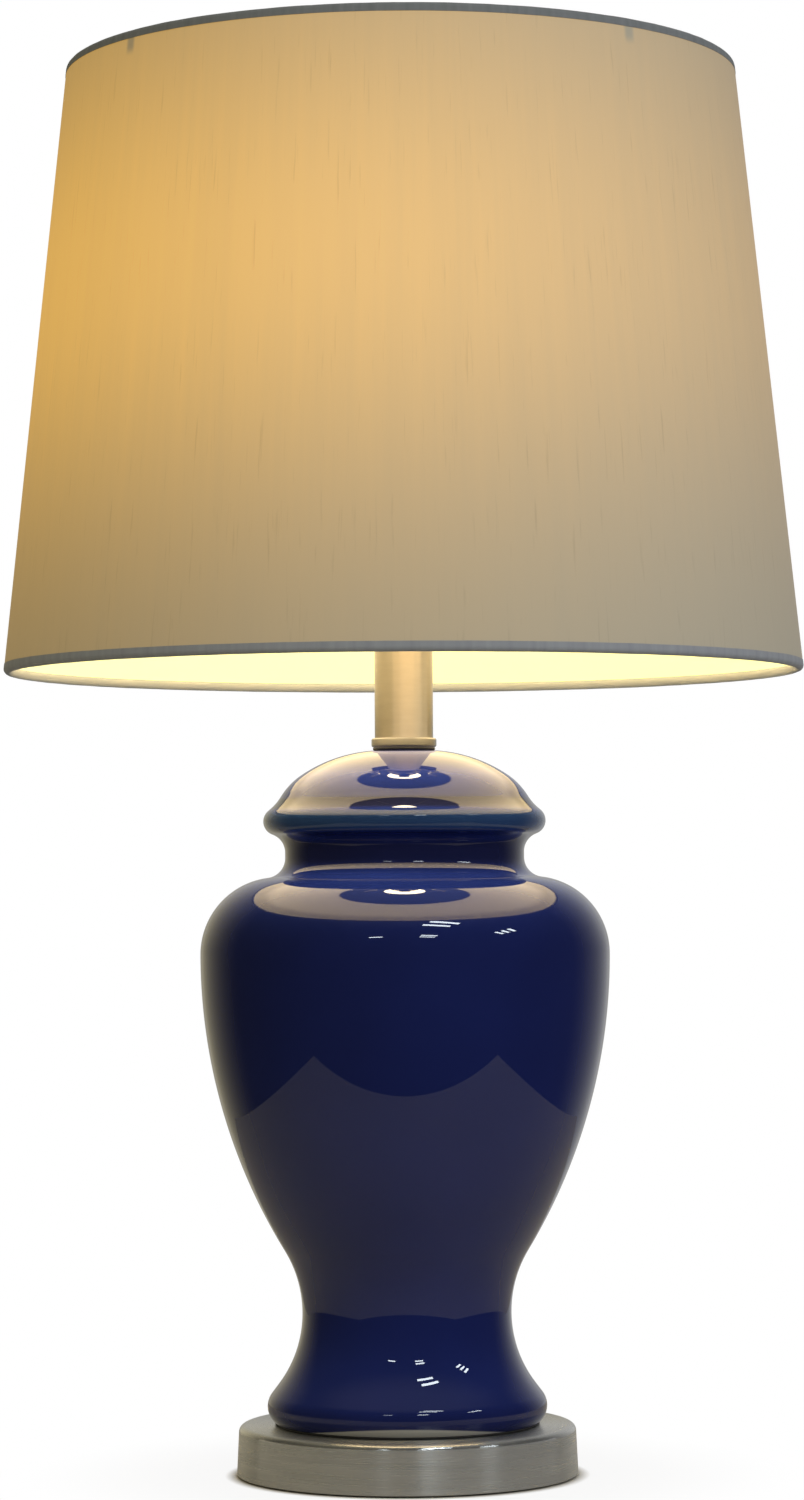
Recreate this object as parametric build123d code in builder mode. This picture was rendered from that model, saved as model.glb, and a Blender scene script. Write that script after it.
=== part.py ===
from build123d import *
import os
from math import atan2, cos, degrees, hypot, radians, sin

# Table lamp: a glazed ginger-jar body on a round metal base, a metal neck, a switched
# socket with its bulb, and a tapered fabric shade carried by a harp.
# Millimetres, +Z up, origin at the centre of the foot, front of the lamp towards -Y.

# Foot and base
felt_radius = 73.2
felt_height = 1.5
base_radius = 75.6
base_top_radius = 74.6
base_lift = 0.7
base_top = 22.7
base_wall = 1.0
base_edge = 3.0
weight_radius = 69.5
weight_height = 8.7
weight_edge = 2.0

# Threaded rod that clamps base, jar, neck and socket together
rod_radius = 5.0
rod_bore = 3.4
rod_clearance = 0.3
rod_bottom = 6.3
rod_top = 385.5
washer_radius = 12.0
washer_height = 1.2
nut_flats = 16.0
nut_height = 5.0

# Cord inlet at the back of the base
inlet_height = 8.0
inlet_bore = 3.2
inlet_body = 4.6
inlet_flange = 6.0
inlet_inner = 70.5
inlet_seat = 75.6
inlet_outer = 77.4

# Jar: each arc runs on from the one before, to the heading given in degrees,
# where 0 points away from the axis and 90 points up. A straight ramp joins
# the bead at the foot to the flare
jar_wall = 5.0
jar_foot_radius = 58.7
jar_foot_inner = 52.5
gasket_height = 0.9
jar_foot = base_top + gasket_height
jar_foot_heading = 39.5
jar_bead = (9.0, 127.0)
jar_ramp = 5.44
jar_flare = (52.05, 90.0)
jar_waist = (53.0, 58.6)
jar_belly = (252.0, 90.0)
jar_shoulder = (34.3, 173.0)
jar_collar = (8.8, 90.0)
jar_neck_height = 2.5
jar_underlip = (8.5, 20.0)
jar_lip = (6.2, 142.0)
jar_step = (23.0, 121.5)
jar_dome = (31.0, 146.0)
jar_crown = (64.0, 179.0)
jar_hole = 8.0

# Neck
neck_radius = 13.0
neck_wall = 1.0
neck_top = 377.0
neck_gasket_radius = 13.9
neck_gasket_height = 1.5
ring_radius = 14.5
ring_height = 3.9
ring_floor = 1.3
ring_edge = 0.8
seat_gap = 0.05
cap_spigot = 4.0
cap_flange = 1.5
cap_radius = 13.6

# Harp saddle, with a narrow tongue at each end for the harp's legs
saddle_sheet = 1.5
saddle_half = 28.5
saddle_width = 12.0
saddle_bend = 3.0
tongue_width = 5.0
tongue_foot = 392.0
tongue_top = 404.0

# Harp
wire_radius = 1.6
leg_gap = 0.1
leg_bottom = 394.0
leg_top = 432.0
harp_half = 56.0
harp_wide_low = 470.0
harp_wide_high = 540.0
harp_top = 595.0
harp_top_half = 18.0
harp_bends = (54.0, 66.0, 88.0, 25.0)
sleeve_inner = 3.75
sleeve_outer = 4.4
sleeve_length = 14.0
sleeve_gap = 0.1
stud_collar_radius = 5.5
stud_collar_height = 7.0
stud_radius = 3.15
stud_height = 12.5

# Socket
socket_cap_radius = 16.9
socket_sheet = 0.7
socket_cap_hub = 7.5
socket_cap_hub_top = 385.0
socket_cap_skirt = 393.0
socket_cap_top = 401.0
shell_radius = 16.0
shell_wall = 0.6
shell_bottom = 394.0
shell_top = 441.0
shell_lip = 14.6
liner_radius = 15.3
liner_wall = 0.6
body_radius = 14.4
body_bottom = 392.0
body_top = 416.0
body_flat = 10.5
thread_pitch = 3.6
thread_turns = 6
thread_depth = 0.7
screw_shell_radius = 14.5
screw_shell_wall = 0.4
contact_sheet = 0.5
contact_width = 6.0
contact_half = 9.0
contact_lift = 1.4
screw_height = 404.5
screw_head_radius = 2.8
screw_head = 2.2
screw_shank = 1.5
screw_depth = 4.5

# Rotary switch, its shaft pointing to the front
switch_height = 406.0
switch_shaft_radius = 1.7
switch_rotor_radius = 3.6
switch_rotor_back = -2.0
switch_rotor_front = -9.0
switch_gap = 0.3
knob_back = -17.5
knob_front = -31.0
knob_radius = 6.2
knob_flutes = 14
knob_flute_radius = 0.8
knob_edge = 0.8
knob_bore_depth = 10.0

# Bulb
bulb_tip_bottom = body_top + contact_sheet + contact_lift
bulb_tip_radius = 4.2
bulb_tip_height = 1.2
bulb_insulator_height = 3.0
bulb_insulator_radius = 9.6
bulb_thread_radius = 13.0
bulb_collar_height = 3.2
bulb_neck_radius = 13.4
bulb_radius = 30.0
bulb_length = 79.0
bulb_head_angle = 125.0
bulb_neck_heading = 93.0
bulb_glass = 1.0

# Shade: a slanted wall of fabric on a stiff liner, with a wire ring in each rolled hem
shade_bottom_radius = 177.8
shade_top_radius = 149.2
shade_bottom = 355.5
shade_height = 270.5
fabric_thickness = 0.5
liner_thickness = 0.5
ring_wire_radius = 1.5
hem_radius = 2.1
hem_inset = 1.9
hem_leg = 4.1
hem_slit = 0.5
hem_folds = 12

# Spider that hangs the shade on the harp's stud
arm_radius = 1.2
arm_count = 4
arm_azimuth = 40.0
arm_drop = 615.8
arm_rise = 625.1
arm_bend = 6.0
hub_radius = 12.0
hub_height = 1.6
hub_bore = 3.45

# Finial
finial_bore = 3.2
finial_bore_depth = 12.5
finial_foot_radius = 6.5
finial_foot_height = 2.5
finial_neck_radius = 4.4
finial_neck_height = 4.6
finial_ball_radius = 7.4
finial_height = 20.0


def heading_vector(angle):
    return (cos(radians(angle)), sin(radians(angle)))


def arc_to(start, heading, radius, end_heading):
    """Draws the tangent arc that leaves start at heading and turns to end_heading."""
    arc = JernArc(start, heading_vector(heading), radius, end_heading - heading)
    end = arc @ 1
    return (end.X, end.Y)


def inside(point, heading, depth):
    """The point that lies depth to the left of an outline going along heading."""
    x, z = point
    return (x - depth * sin(radians(heading)), z + depth * cos(radians(heading)))


def ahead(point, heading, distance):
    """The point that lies distance further along heading."""
    x, z = point
    return (x + distance * cos(radians(heading)), z + distance * sin(radians(heading)))


def walk_arcs(start, heading, arcs, depth=0.0):
    """Draws a chain of tangent arcs, moved depth to the left, and gives its end."""
    for radius, end_heading in arcs:
        shrink = depth if end_heading > heading else -depth
        start = arc_to(start, heading, radius - shrink, end_heading)
        heading = end_heading
    return start


def arc_end(start, heading, radius, end_heading):
    """Where the arc of arc_to ends, worked out without drawing it."""
    turn = 1 if end_heading > heading else -1
    centre = inside(start, heading, turn * radius)
    return inside(centre, end_heading, -turn * radius)


def save(part, name):
    part.label = name
    export_step(part, os.path.join("parts", name + ".step"))


os.makedirs("parts", exist_ok=True)

# Felt pad under the base
with BuildPart() as felt_pad:
    Cylinder(felt_radius, felt_height, align=(Align.CENTER, Align.CENTER, Align.MIN))
save(felt_pad.part, "felt_pad")

# Spun metal base, a shallow pan with its opening down
inlet_plane = Plane(origin=(0, 0, inlet_height), x_dir=(1, 0, 0), z_dir=(0, 1, 0))
with BuildPart() as base_pan:
    with BuildSketch(Plane.XZ):
        with BuildLine():
            Polyline(
                (0, base_lift),
                (base_radius, base_lift),
                (base_top_radius, base_top),
                (0, base_top),
                close=True,
            )
        make_face()
    revolve(axis=Axis.Z)
    fillet(base_pan.edges().group_by(Axis.Z)[-1], base_edge)
    offset(amount=-base_wall, openings=base_pan.faces().sort_by(Axis.Z)[0])
    with Locations((0, 0, base_top)):
        Hole(rod_radius + rod_clearance, depth=2 * base_wall)
    with BuildSketch(inlet_plane.offset(inlet_inner)):
        Circle(inlet_body + seat_gap)
    extrude(amount=inlet_outer - inlet_inner, mode=Mode.SUBTRACT)
save(base_pan.part, "base_pan")

# Cast weight held up under the base
weight_bottom = base_top - base_wall - weight_height
with BuildPart() as base_weight:
    with BuildSketch(Plane.XY.offset(weight_bottom)):
        Circle(weight_radius)
        Circle(rod_radius + rod_clearance, mode=Mode.SUBTRACT)
    extrude(amount=weight_height)
    outer_edges = base_weight.edges().filter_by(GeomType.CIRCLE).group_by(SortBy.RADIUS)[-1]
    chamfer(outer_edges, weight_edge)
save(base_weight.part, "base_weight")

# Washer and hexagon nut on the lower end of the rod
washer_bottom = weight_bottom - washer_height
with BuildPart() as base_washer:
    with BuildSketch(Plane.XY.offset(washer_bottom)):
        Circle(washer_radius)
        Circle(rod_radius + rod_clearance, mode=Mode.SUBTRACT)
    extrude(amount=washer_height)
save(base_washer.part, "base_washer")

with BuildPart() as base_nut:
    with BuildSketch(Plane.XY.offset(washer_bottom - nut_height)):
        RegularPolygon(nut_flats / 2, 6, major_radius=False)
        Circle(rod_radius + seat_gap, mode=Mode.SUBTRACT)
    extrude(amount=nut_height)
save(base_nut.part, "base_nut")

# Hollow threaded rod
with BuildPart() as threaded_rod:
    with BuildSketch(Plane.XY.offset(rod_bottom)):
        Circle(rod_radius)
        Circle(rod_bore, mode=Mode.SUBTRACT)
    extrude(amount=rod_top - rod_bottom)
save(threaded_rod.part, "threaded_rod")

# Bushing that lines the cord inlet
with BuildPart() as cord_bushing:
    with BuildSketch(inlet_plane.offset(inlet_inner)):
        Circle(inlet_body)
    extrude(amount=inlet_seat - inlet_inner)
    with BuildSketch(inlet_plane.offset(inlet_seat)):
        Circle(inlet_flange)
    extrude(amount=inlet_outer - inlet_seat)
    with BuildSketch(inlet_plane.offset(inlet_inner)):
        Circle(inlet_bore)
    extrude(amount=inlet_outer - inlet_inner, mode=Mode.SUBTRACT)
save(cord_bushing.part, "cord_bushing")

# Thin ring that the jar's foot stands on
with BuildPart() as foot_gasket:
    with BuildSketch(Plane.XY.offset(base_top)):
        Circle(jar_foot_radius)
        Circle(jar_foot_inner, mode=Mode.SUBTRACT)
    extrude(amount=gasket_height)
save(foot_gasket.part, "foot_gasket")

# Jar, a cast shell with its lid formed in one piece with the body
jar_lower = (jar_flare, jar_waist, jar_belly, jar_shoulder, jar_collar)
jar_upper = (jar_underlip, jar_lip, jar_step, jar_dome, jar_crown)
jar_start = (jar_foot_radius, jar_foot)
bead_end = arc_end(jar_start, jar_foot_heading, *jar_bead)
ramp_heading = jar_bead[1]
ramp_end = ahead(bead_end, ramp_heading, jar_ramp)
bead_inside = inside(bead_end, ramp_heading, jar_wall)
ramp_inside = inside(ramp_end, ramp_heading, jar_wall)
with BuildPart() as jar:
    with BuildSketch(Plane.XZ):
        with BuildLine():
            walk_arcs(jar_start, jar_foot_heading, (jar_bead,))
            Line(bead_end, ramp_end)
            neck_start = walk_arcs(ramp_end, ramp_heading, jar_lower)
            neck_end = (neck_start[0], neck_start[1] + jar_neck_height)
            Line(neck_start, neck_end)
            crown_end = walk_arcs(neck_end, jar_collar[1], jar_upper)
            Line(bead_inside, ramp_inside)
            inner_start = walk_arcs(ramp_inside, ramp_heading, jar_lower, jar_wall)
            inner_end = (inner_start[0], inner_start[1] + jar_neck_height)
            Line(inner_start, inner_end)
            inner_crown = walk_arcs(inner_end, jar_collar[1], jar_upper, jar_wall)
            Polyline(
                crown_end,
                (jar_hole, crown_end[1]),
                (jar_hole, inner_crown[1]),
                inner_crown,
            )
            Polyline(bead_inside, (jar_foot_inner, jar_foot), jar_start)
        make_face()
    revolve(axis=Axis.Z)
save(jar.part, "jar")
jar_top = crown_end[1]

# Rubber gasket between the jar and the neck
ring_bottom = jar_top + neck_gasket_height
with BuildPart() as neck_gasket:
    with BuildSketch(Plane.XY.offset(jar_top)):
        Circle(neck_gasket_radius)
        Circle(rod_radius + rod_clearance, mode=Mode.SUBTRACT)
    extrude(amount=neck_gasket_height)
save(neck_gasket.part, "neck_gasket")

# Check ring, a cup that the neck tube stands in
with BuildPart() as check_ring:
    with BuildSketch(Plane.XY.offset(ring_bottom)):
        Circle(ring_radius)
        Circle(rod_radius + rod_clearance, mode=Mode.SUBTRACT)
    extrude(amount=ring_height)
    with BuildSketch(Plane.XY.offset(ring_bottom + ring_floor)):
        Circle(neck_radius + seat_gap)
    extrude(amount=ring_height, mode=Mode.SUBTRACT)
    rim_edges = check_ring.edges().filter_by(GeomType.CIRCLE).group_by(SortBy.RADIUS)[-1]
    fillet(rim_edges, ring_edge)
save(check_ring.part, "check_ring")

# Neck tube round the rod
neck_bottom = ring_bottom + ring_floor
with BuildPart() as neck_tube:
    with BuildSketch(Plane.XY.offset(neck_bottom)):
        Circle(neck_radius)
        Circle(neck_radius - neck_wall, mode=Mode.SUBTRACT)
    extrude(amount=neck_top - neck_bottom)
save(neck_tube.part, "neck_tube")

# Cap that closes the neck and centres it on the rod
saddle_bottom = neck_top + cap_flange
with BuildPart() as neck_cap:
    with BuildSketch(Plane.XY.offset(neck_top - cap_spigot)):
        Circle(neck_radius - neck_wall - seat_gap)
    extrude(amount=cap_spigot)
    with BuildSketch(Plane.XY.offset(neck_top)):
        Circle(cap_radius)
    extrude(amount=cap_flange)
    with Locations((0, 0, saddle_bottom)):
        Hole(rod_radius + rod_clearance)
save(neck_cap.part, "neck_cap")

# Harp saddle, bent from strip
saddle_top = saddle_bottom + saddle_sheet
saddle_inner = saddle_half - saddle_sheet
with BuildPart() as harp_saddle:
    with BuildSketch(Plane.XZ):
        with BuildLine():
            FilletPolyline(
                (-saddle_half, tongue_top),
                (-saddle_half, saddle_bottom),
                (saddle_half, saddle_bottom),
                (saddle_half, tongue_top),
                radius=saddle_bend,
            )
            FilletPolyline(
                (saddle_inner, tongue_top),
                (saddle_inner, saddle_top),
                (-saddle_inner, saddle_top),
                (-saddle_inner, tongue_top),
                radius=saddle_bend - saddle_sheet,
            )
            for side in (-1, 1):
                Line((side * saddle_half, tongue_top), (side * saddle_inner, tongue_top))
        make_face()
    extrude(amount=saddle_width / 2, both=True)
    with BuildSketch(Plane.XY.offset(tongue_foot)):
        Rectangle(3 * saddle_half, 2 * saddle_width)
        Rectangle(3 * saddle_half, tongue_width, mode=Mode.SUBTRACT)
    extrude(amount=tongue_top, mode=Mode.SUBTRACT)
    with Locations((0, 0, saddle_top)):
        Hole(rod_radius + rod_clearance)
save(harp_saddle.part, "harp_saddle")

# Harp, one bent wire with both legs on the outside of the saddle's tongues
leg_x = saddle_half + leg_gap + wire_radius
harp_right = (
    (harp_top_half, harp_top),
    (harp_half, harp_wide_high),
    (harp_half, harp_wide_low),
    (leg_x, leg_top),
    (leg_x, leg_bottom),
)
harp_left = [(-x, z) for x, z in reversed(harp_right)]
with BuildPart() as harp_wire:
    with BuildLine(Plane.XZ) as harp_line:
        FilletPolyline(*harp_left, *harp_right, radius=(*harp_bends, *reversed(harp_bends)))
    with BuildSketch(Plane.XY.offset(leg_bottom)):
        with Locations((-leg_x, 0)):
            Circle(wire_radius)
    sweep(path=harp_line.wires()[0])
save(harp_wire.part, "harp_wire")

# Stud on top of the harp, for the shade and the finial
stud_collar_top = harp_top + stud_collar_height / 2
with BuildPart() as harp_stud:
    with BuildSketch(Plane.XY.offset(stud_collar_top - stud_collar_height)):
        Circle(stud_collar_radius)
    extrude(amount=stud_collar_height)
    with BuildSketch(Plane.XY.offset(stud_collar_top)):
        Circle(stud_radius)
    extrude(amount=stud_height)
    with BuildSketch(Plane.YZ.offset(-2 * stud_collar_radius)):
        with Locations((0, harp_top)):
            Circle(wire_radius)
    extrude(amount=4 * stud_collar_radius, mode=Mode.SUBTRACT)
save(harp_stud.part, "harp_stud")

# Sleeves that drop over each leg and tongue and lock them together
sleeve_x = (saddle_inner + leg_x + wire_radius) / 2
for side, name in ((-1, "harp_sleeve_left"), (1, "harp_sleeve_right")):
    with BuildPart() as harp_sleeve:
        with BuildSketch(Plane.XY.offset(tongue_foot + sleeve_gap)):
            with Locations((side * sleeve_x, 0)):
                Circle(sleeve_outer)
                Circle(sleeve_inner, mode=Mode.SUBTRACT)
        extrude(amount=sleeve_length)
    save(harp_sleeve.part, name)

# Socket cap, a spun cup with a hub on the rod
with BuildPart() as socket_cap:
    with BuildSketch(Plane.XZ):
        with BuildLine():
            Polyline(
                (rod_radius + seat_gap, saddle_top),
                (socket_cap_hub, saddle_top),
                (socket_cap_hub, socket_cap_hub_top),
                (socket_cap_radius, socket_cap_skirt),
                (socket_cap_radius, socket_cap_top),
                (socket_cap_radius - socket_sheet, socket_cap_top),
                (socket_cap_radius - socket_sheet, socket_cap_skirt + socket_sheet / 2),
                (socket_cap_hub - socket_sheet, socket_cap_hub_top + socket_sheet),
                (rod_radius + seat_gap, socket_cap_hub_top + socket_sheet),
                close=True,
            )
        make_face()
    revolve(axis=Axis.Z)
save(socket_cap.part, "socket_cap")

# Socket shell with a turned-in lip and a hole for the switch shaft
switch_plane = Plane(origin=(0, 0, switch_height), x_dir=(-1, 0, 0), z_dir=(0, -1, 0))
with BuildPart() as socket_shell:
    with BuildSketch(Plane.XY.offset(shell_bottom)):
        Circle(shell_radius)
    extrude(amount=shell_top - shell_bottom)
    with BuildSketch(Plane.XY.offset(shell_bottom)):
        Circle(shell_radius - shell_wall)
    extrude(amount=shell_top - shell_bottom - shell_wall, mode=Mode.SUBTRACT)
    with BuildSketch(Plane.XY.offset(shell_bottom)):
        Circle(shell_lip)
    extrude(amount=shell_top - shell_bottom, mode=Mode.SUBTRACT)
    with BuildSketch(switch_plane):
        Circle(switch_shaft_radius + switch_gap)
    extrude(amount=2 * shell_radius, mode=Mode.SUBTRACT)
save(socket_shell.part, "socket_shell")

# Card liner that insulates the shell
liner_top = shell_top - 2 * shell_wall
with BuildPart() as socket_liner:
    with BuildSketch(Plane.XY.offset(shell_bottom)):
        Circle(liner_radius)
        Circle(liner_radius - liner_wall, mode=Mode.SUBTRACT)
    extrude(amount=liner_top - shell_bottom)
    with BuildSketch(switch_plane):
        Circle(switch_shaft_radius + switch_gap)
    extrude(amount=2 * shell_radius, mode=Mode.SUBTRACT)
save(socket_liner.part, "socket_liner")

# Moulded socket body with flats for the terminals and a chamber for the switch
with BuildPart() as socket_body:
    with BuildSketch(Plane.XY.offset(body_bottom)):
        Circle(body_radius)
    extrude(amount=body_top - body_bottom)
    with BuildSketch(Plane.XY.offset(screw_height - 2 * screw_head_radius)):
        for side in (-1, 1):
            with Locations((side * (body_flat + body_radius), 0)):
                Rectangle(2 * body_radius, 4 * body_radius)
    extrude(amount=4 * screw_head_radius, mode=Mode.SUBTRACT)
    with BuildSketch(Plane.YZ.offset(-body_flat)):
        with Locations((0, screw_height)):
            Circle(screw_shank + seat_gap)
    extrude(amount=screw_depth, mode=Mode.SUBTRACT)
    with BuildSketch(Plane.YZ.offset(body_flat)):
        with Locations((0, screw_height)):
            Circle(screw_shank + seat_gap)
    extrude(amount=-screw_depth, mode=Mode.SUBTRACT)
    with BuildSketch(switch_plane):
        Circle(switch_rotor_radius + switch_gap)
    extrude(amount=-switch_rotor_front + switch_gap, mode=Mode.SUBTRACT)
    with BuildSketch(switch_plane):
        Circle(switch_shaft_radius + switch_gap)
    extrude(amount=2 * body_radius, mode=Mode.SUBTRACT)
save(socket_body.part, "socket_body")


# Rolled thread seen in section: a round crest and a round root in every pitch
thread_turn = 2 * degrees(atan2(thread_depth, thread_pitch / 2))
thread_round = thread_pitch / 4 / sin(radians(thread_turn))
thread_wave = [(thread_round, 90 + turn) for turn in (thread_turn, 0, -thread_turn, 0)]
thread_arcs = thread_wave * thread_turns

# Threaded shell that takes the bulb
thread_bottom = body_top + thread_pitch / 2
with BuildPart() as socket_screw_shell:
    with BuildSketch(Plane.XZ):
        with BuildLine():
            outer_start = (screw_shell_radius, thread_bottom)
            inner_start = inside(outer_start, 90, screw_shell_wall)
            outer_end = walk_arcs(outer_start, 90, thread_arcs)
            inner_end = walk_arcs(inner_start, 90, thread_arcs, screw_shell_wall)
            Line(outer_start, inner_start)
            Line(outer_end, inner_end)
        make_face()
    revolve(axis=Axis.Z)
save(socket_screw_shell.part, "socket_screw_shell")

# Springy centre contact on top of the socket body
contact_rest = body_top + contact_sheet
with BuildPart() as centre_contact:
    with BuildSketch(Plane.XZ):
        with BuildLine():
            Polyline(
                (-contact_half, body_top),
                (0, body_top),
                (contact_half / 2, body_top + contact_lift),
                (contact_half / 2, contact_rest + contact_lift),
                (-bulb_tip_radius, contact_rest + contact_lift),
                (-bulb_tip_radius, body_top + contact_lift),
                (0, body_top + contact_lift),
                (-contact_sheet, contact_rest),
                (-contact_half, contact_rest),
                close=True,
            )
        make_face()
    extrude(amount=contact_width / 2, both=True)
save(centre_contact.part, "centre_contact")

# Two terminal screws
with BuildPart() as terminal_screws:
    for side in (-1, 1):
        with BuildSketch(Plane.YZ.offset(side * (body_flat - screw_depth))):
            with Locations((0, screw_height)):
                Circle(screw_shank)
        extrude(amount=side * screw_depth)
        with BuildSketch(Plane.YZ.offset(side * body_flat)):
            with Locations((0, screw_height)):
                Circle(screw_head_radius)
        extrude(amount=side * screw_head)
save(terminal_screws.part, "terminal_screws")

# Switch shaft with its rotor
with BuildPart() as switch_shaft:
    with BuildSketch(switch_plane.offset(-switch_rotor_back)):
        Circle(switch_rotor_radius)
    extrude(amount=switch_rotor_back - switch_rotor_front)
    with BuildSketch(switch_plane.offset(-switch_rotor_front)):
        Circle(switch_shaft_radius)
    extrude(amount=switch_rotor_front - knob_back + knob_bore_depth)
save(switch_shaft.part, "switch_shaft")

# Fluted knob on the shaft
with BuildPart() as switch_knob:
    with BuildSketch(switch_plane.offset(-knob_back)):
        Circle(knob_radius)
        with PolarLocations(knob_radius, knob_flutes):
            Circle(knob_flute_radius, mode=Mode.SUBTRACT)
    extrude(amount=knob_back - knob_front)
    chamfer(switch_knob.faces().sort_by(Axis.Y)[0].edges(), knob_edge / 2)
    with BuildSketch(switch_plane.offset(-knob_back)):
        Circle(switch_shaft_radius)
    extrude(amount=knob_bore_depth, mode=Mode.SUBTRACT)
save(switch_knob.part, "switch_knob")

# Bulb: tip, insulator, screw base and globe
with BuildPart() as bulb_tip:
    with BuildSketch(Plane.XY.offset(bulb_tip_bottom)):
        Circle(bulb_tip_radius)
    extrude(amount=bulb_tip_height)
    fillet(bulb_tip.edges().sort_by(Axis.Z)[0], bulb_tip_height / 2)
save(bulb_tip.part, "bulb_tip")

insulator_bottom = bulb_tip_bottom + bulb_tip_height
insulator_top = insulator_bottom + bulb_insulator_height
with BuildPart() as bulb_insulator:
    with BuildSketch(Plane.XZ):
        with BuildLine():
            Polyline(
                (0, insulator_bottom),
                (bulb_tip_radius, insulator_bottom),
                (bulb_insulator_radius, insulator_top),
                (0, insulator_top),
                close=True,
            )
        make_face()
    revolve(axis=Axis.Z)
save(bulb_insulator.part, "bulb_insulator")

bulb_thread_top = insulator_top + thread_turns * thread_pitch
globe_bottom = bulb_thread_top + bulb_collar_height
with BuildPart() as bulb_screw_base:
    with BuildSketch(Plane.XZ):
        with BuildLine():
            thread_end = walk_arcs((bulb_thread_radius, insulator_top), 90, thread_arcs)
            Polyline(
                thread_end,
                (bulb_neck_radius, globe_bottom),
                (0, globe_bottom),
                (0, insulator_top),
                (bulb_thread_radius, insulator_top),
            )
        make_face()
    revolve(axis=Axis.Z)
save(bulb_screw_base.part, "bulb_screw_base")

globe_top = globe_bottom + bulb_length
globe_centre = globe_top - bulb_radius


def globe_outline(depth):
    """Half section of the globe: a round head and a neck that flows into it."""
    head = bulb_radius - depth
    neck_point = (bulb_neck_radius - depth, globe_bottom)
    out, down = sin(radians(bulb_head_angle)), -cos(radians(bulb_head_angle))
    meet = (head * out, globe_centre - head * down)
    ThreePointArc((0, globe_centre + head), (head, globe_centre), meet)
    Spline(meet, neck_point, tangents=((-down, -out), heading_vector(-bulb_neck_heading)))
    return neck_point


with BuildPart() as bulb_globe:
    with BuildSketch(Plane.XZ):
        with BuildLine():
            outer_neck = globe_outline(0)
            inner_neck = globe_outline(bulb_glass)
            Line(outer_neck, inner_neck)
            Line((0, globe_top), (0, globe_top - bulb_glass))
        make_face()
    revolve(axis=Axis.Z)
save(bulb_globe.part, "bulb_globe")

# Shade wall, drawn in a frame that lies along the slant: x outwards, y up the slant
shade_slant = hypot(shade_height, shade_bottom_radius - shade_top_radius)
slant_sin = (shade_bottom_radius - shade_top_radius) / shade_slant
slant_cos = shade_height / shade_slant
slant_plane = Plane(
    origin=(shade_bottom_radius, 0, shade_bottom),
    x_dir=(slant_cos, 0, slant_sin),
    z_dir=(0, -1, 0),
)
wall_length = shade_slant - 2 * hem_leg
layers = (
    ("shade_fabric", 0, fabric_thickness),
    ("shade_liner", fabric_thickness, liner_thickness),
)
for name, depth, thickness in layers:
    with BuildPart() as shade_layer:
        with BuildSketch(slant_plane):
            with Locations((-depth, hem_leg)):
                Rectangle(thickness, wall_length, align=(Align.MAX, Align.MIN))
        revolve(axis=Axis.Z)
    save(shade_layer.part, name)

# Spider: four arms welded to the top ring and to the hub
ring_levels = {"bottom": hem_radius, "top": shade_slant - hem_radius}
top_ring_place = slant_plane.from_local_coords((-hem_inset, ring_levels["top"]))
arm_x = top_ring_place.X - ring_wire_radius - arm_radius
hub_bottom = stud_collar_top
hub_middle = hub_bottom + hub_height / 2
with BuildPart() as spider_hub:
    with BuildSketch(Plane.XY.offset(hub_bottom)):
        Circle(hub_radius)
        Circle(hub_bore, mode=Mode.SUBTRACT)
    extrude(amount=hub_height)
save(spider_hub.part, "spider_hub")

with BuildPart() as spider_arms:
    with BuildLine(Plane.XZ) as arm_line:
        FilletPolyline((arm_x, arm_rise), (arm_x, arm_drop), (0, hub_middle), radius=arm_bend)
    with BuildSketch(Plane.XY.offset(arm_rise)):
        with Locations((arm_x, 0)):
            Circle(arm_radius)
    sweep(path=arm_line.wires()[0])
    with BuildSketch(Plane.XY.offset(hub_bottom - hub_radius)):
        Circle(hub_radius)
    extrude(amount=2 * hub_radius, mode=Mode.SUBTRACT)
one_arm = spider_arms.part
first_arm = -90 + arm_azimuth
arm_turns = [first_arm + i * 360 / arm_count for i in range(arm_count)]
all_arms = Compound(children=[one_arm.rotate(Axis.Z, turn) for turn in arm_turns])
save(all_arms, "spider_arms")

# Wire ring at each edge of the shade, and the fabric folded round it, its raw edge tucked inside
leg_width = hem_radius - hem_inset + fabric_thickness + liner_thickness
for edge, level in ring_levels.items():
    leg_side = Align.MIN if edge == "bottom" else Align.MAX
    with BuildPart() as shade_ring:
        with BuildSketch(slant_plane):
            with Locations((-hem_inset, level)):
                Circle(ring_wire_radius)
        revolve(axis=Axis.Z)
    save(shade_ring.part, "shade_" + edge + "_ring")
    with BuildPart() as shade_hem:
        with BuildSketch(slant_plane):
            with Locations((-hem_inset, level)):
                RegularPolygon(hem_radius, hem_folds)
            with Locations((hem_radius - hem_inset, level)):
                Rectangle(leg_width, hem_leg - hem_radius, align=(Align.MAX, leg_side))
            with Locations((-hem_inset, level)):
                RegularPolygon(ring_wire_radius + seat_gap, hem_folds, major_radius=False, mode=Mode.SUBTRACT)
            with Locations((-hem_inset - hem_radius / 2, level)):
                Rectangle(hem_slit, hem_leg, align=(Align.CENTER, leg_side), mode=Mode.SUBTRACT)
        revolve(axis=Axis.Z)
        if edge == "top":
            add(all_arms, mode=Mode.SUBTRACT)
    save(shade_hem.part, "shade_" + edge + "_hem")

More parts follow.
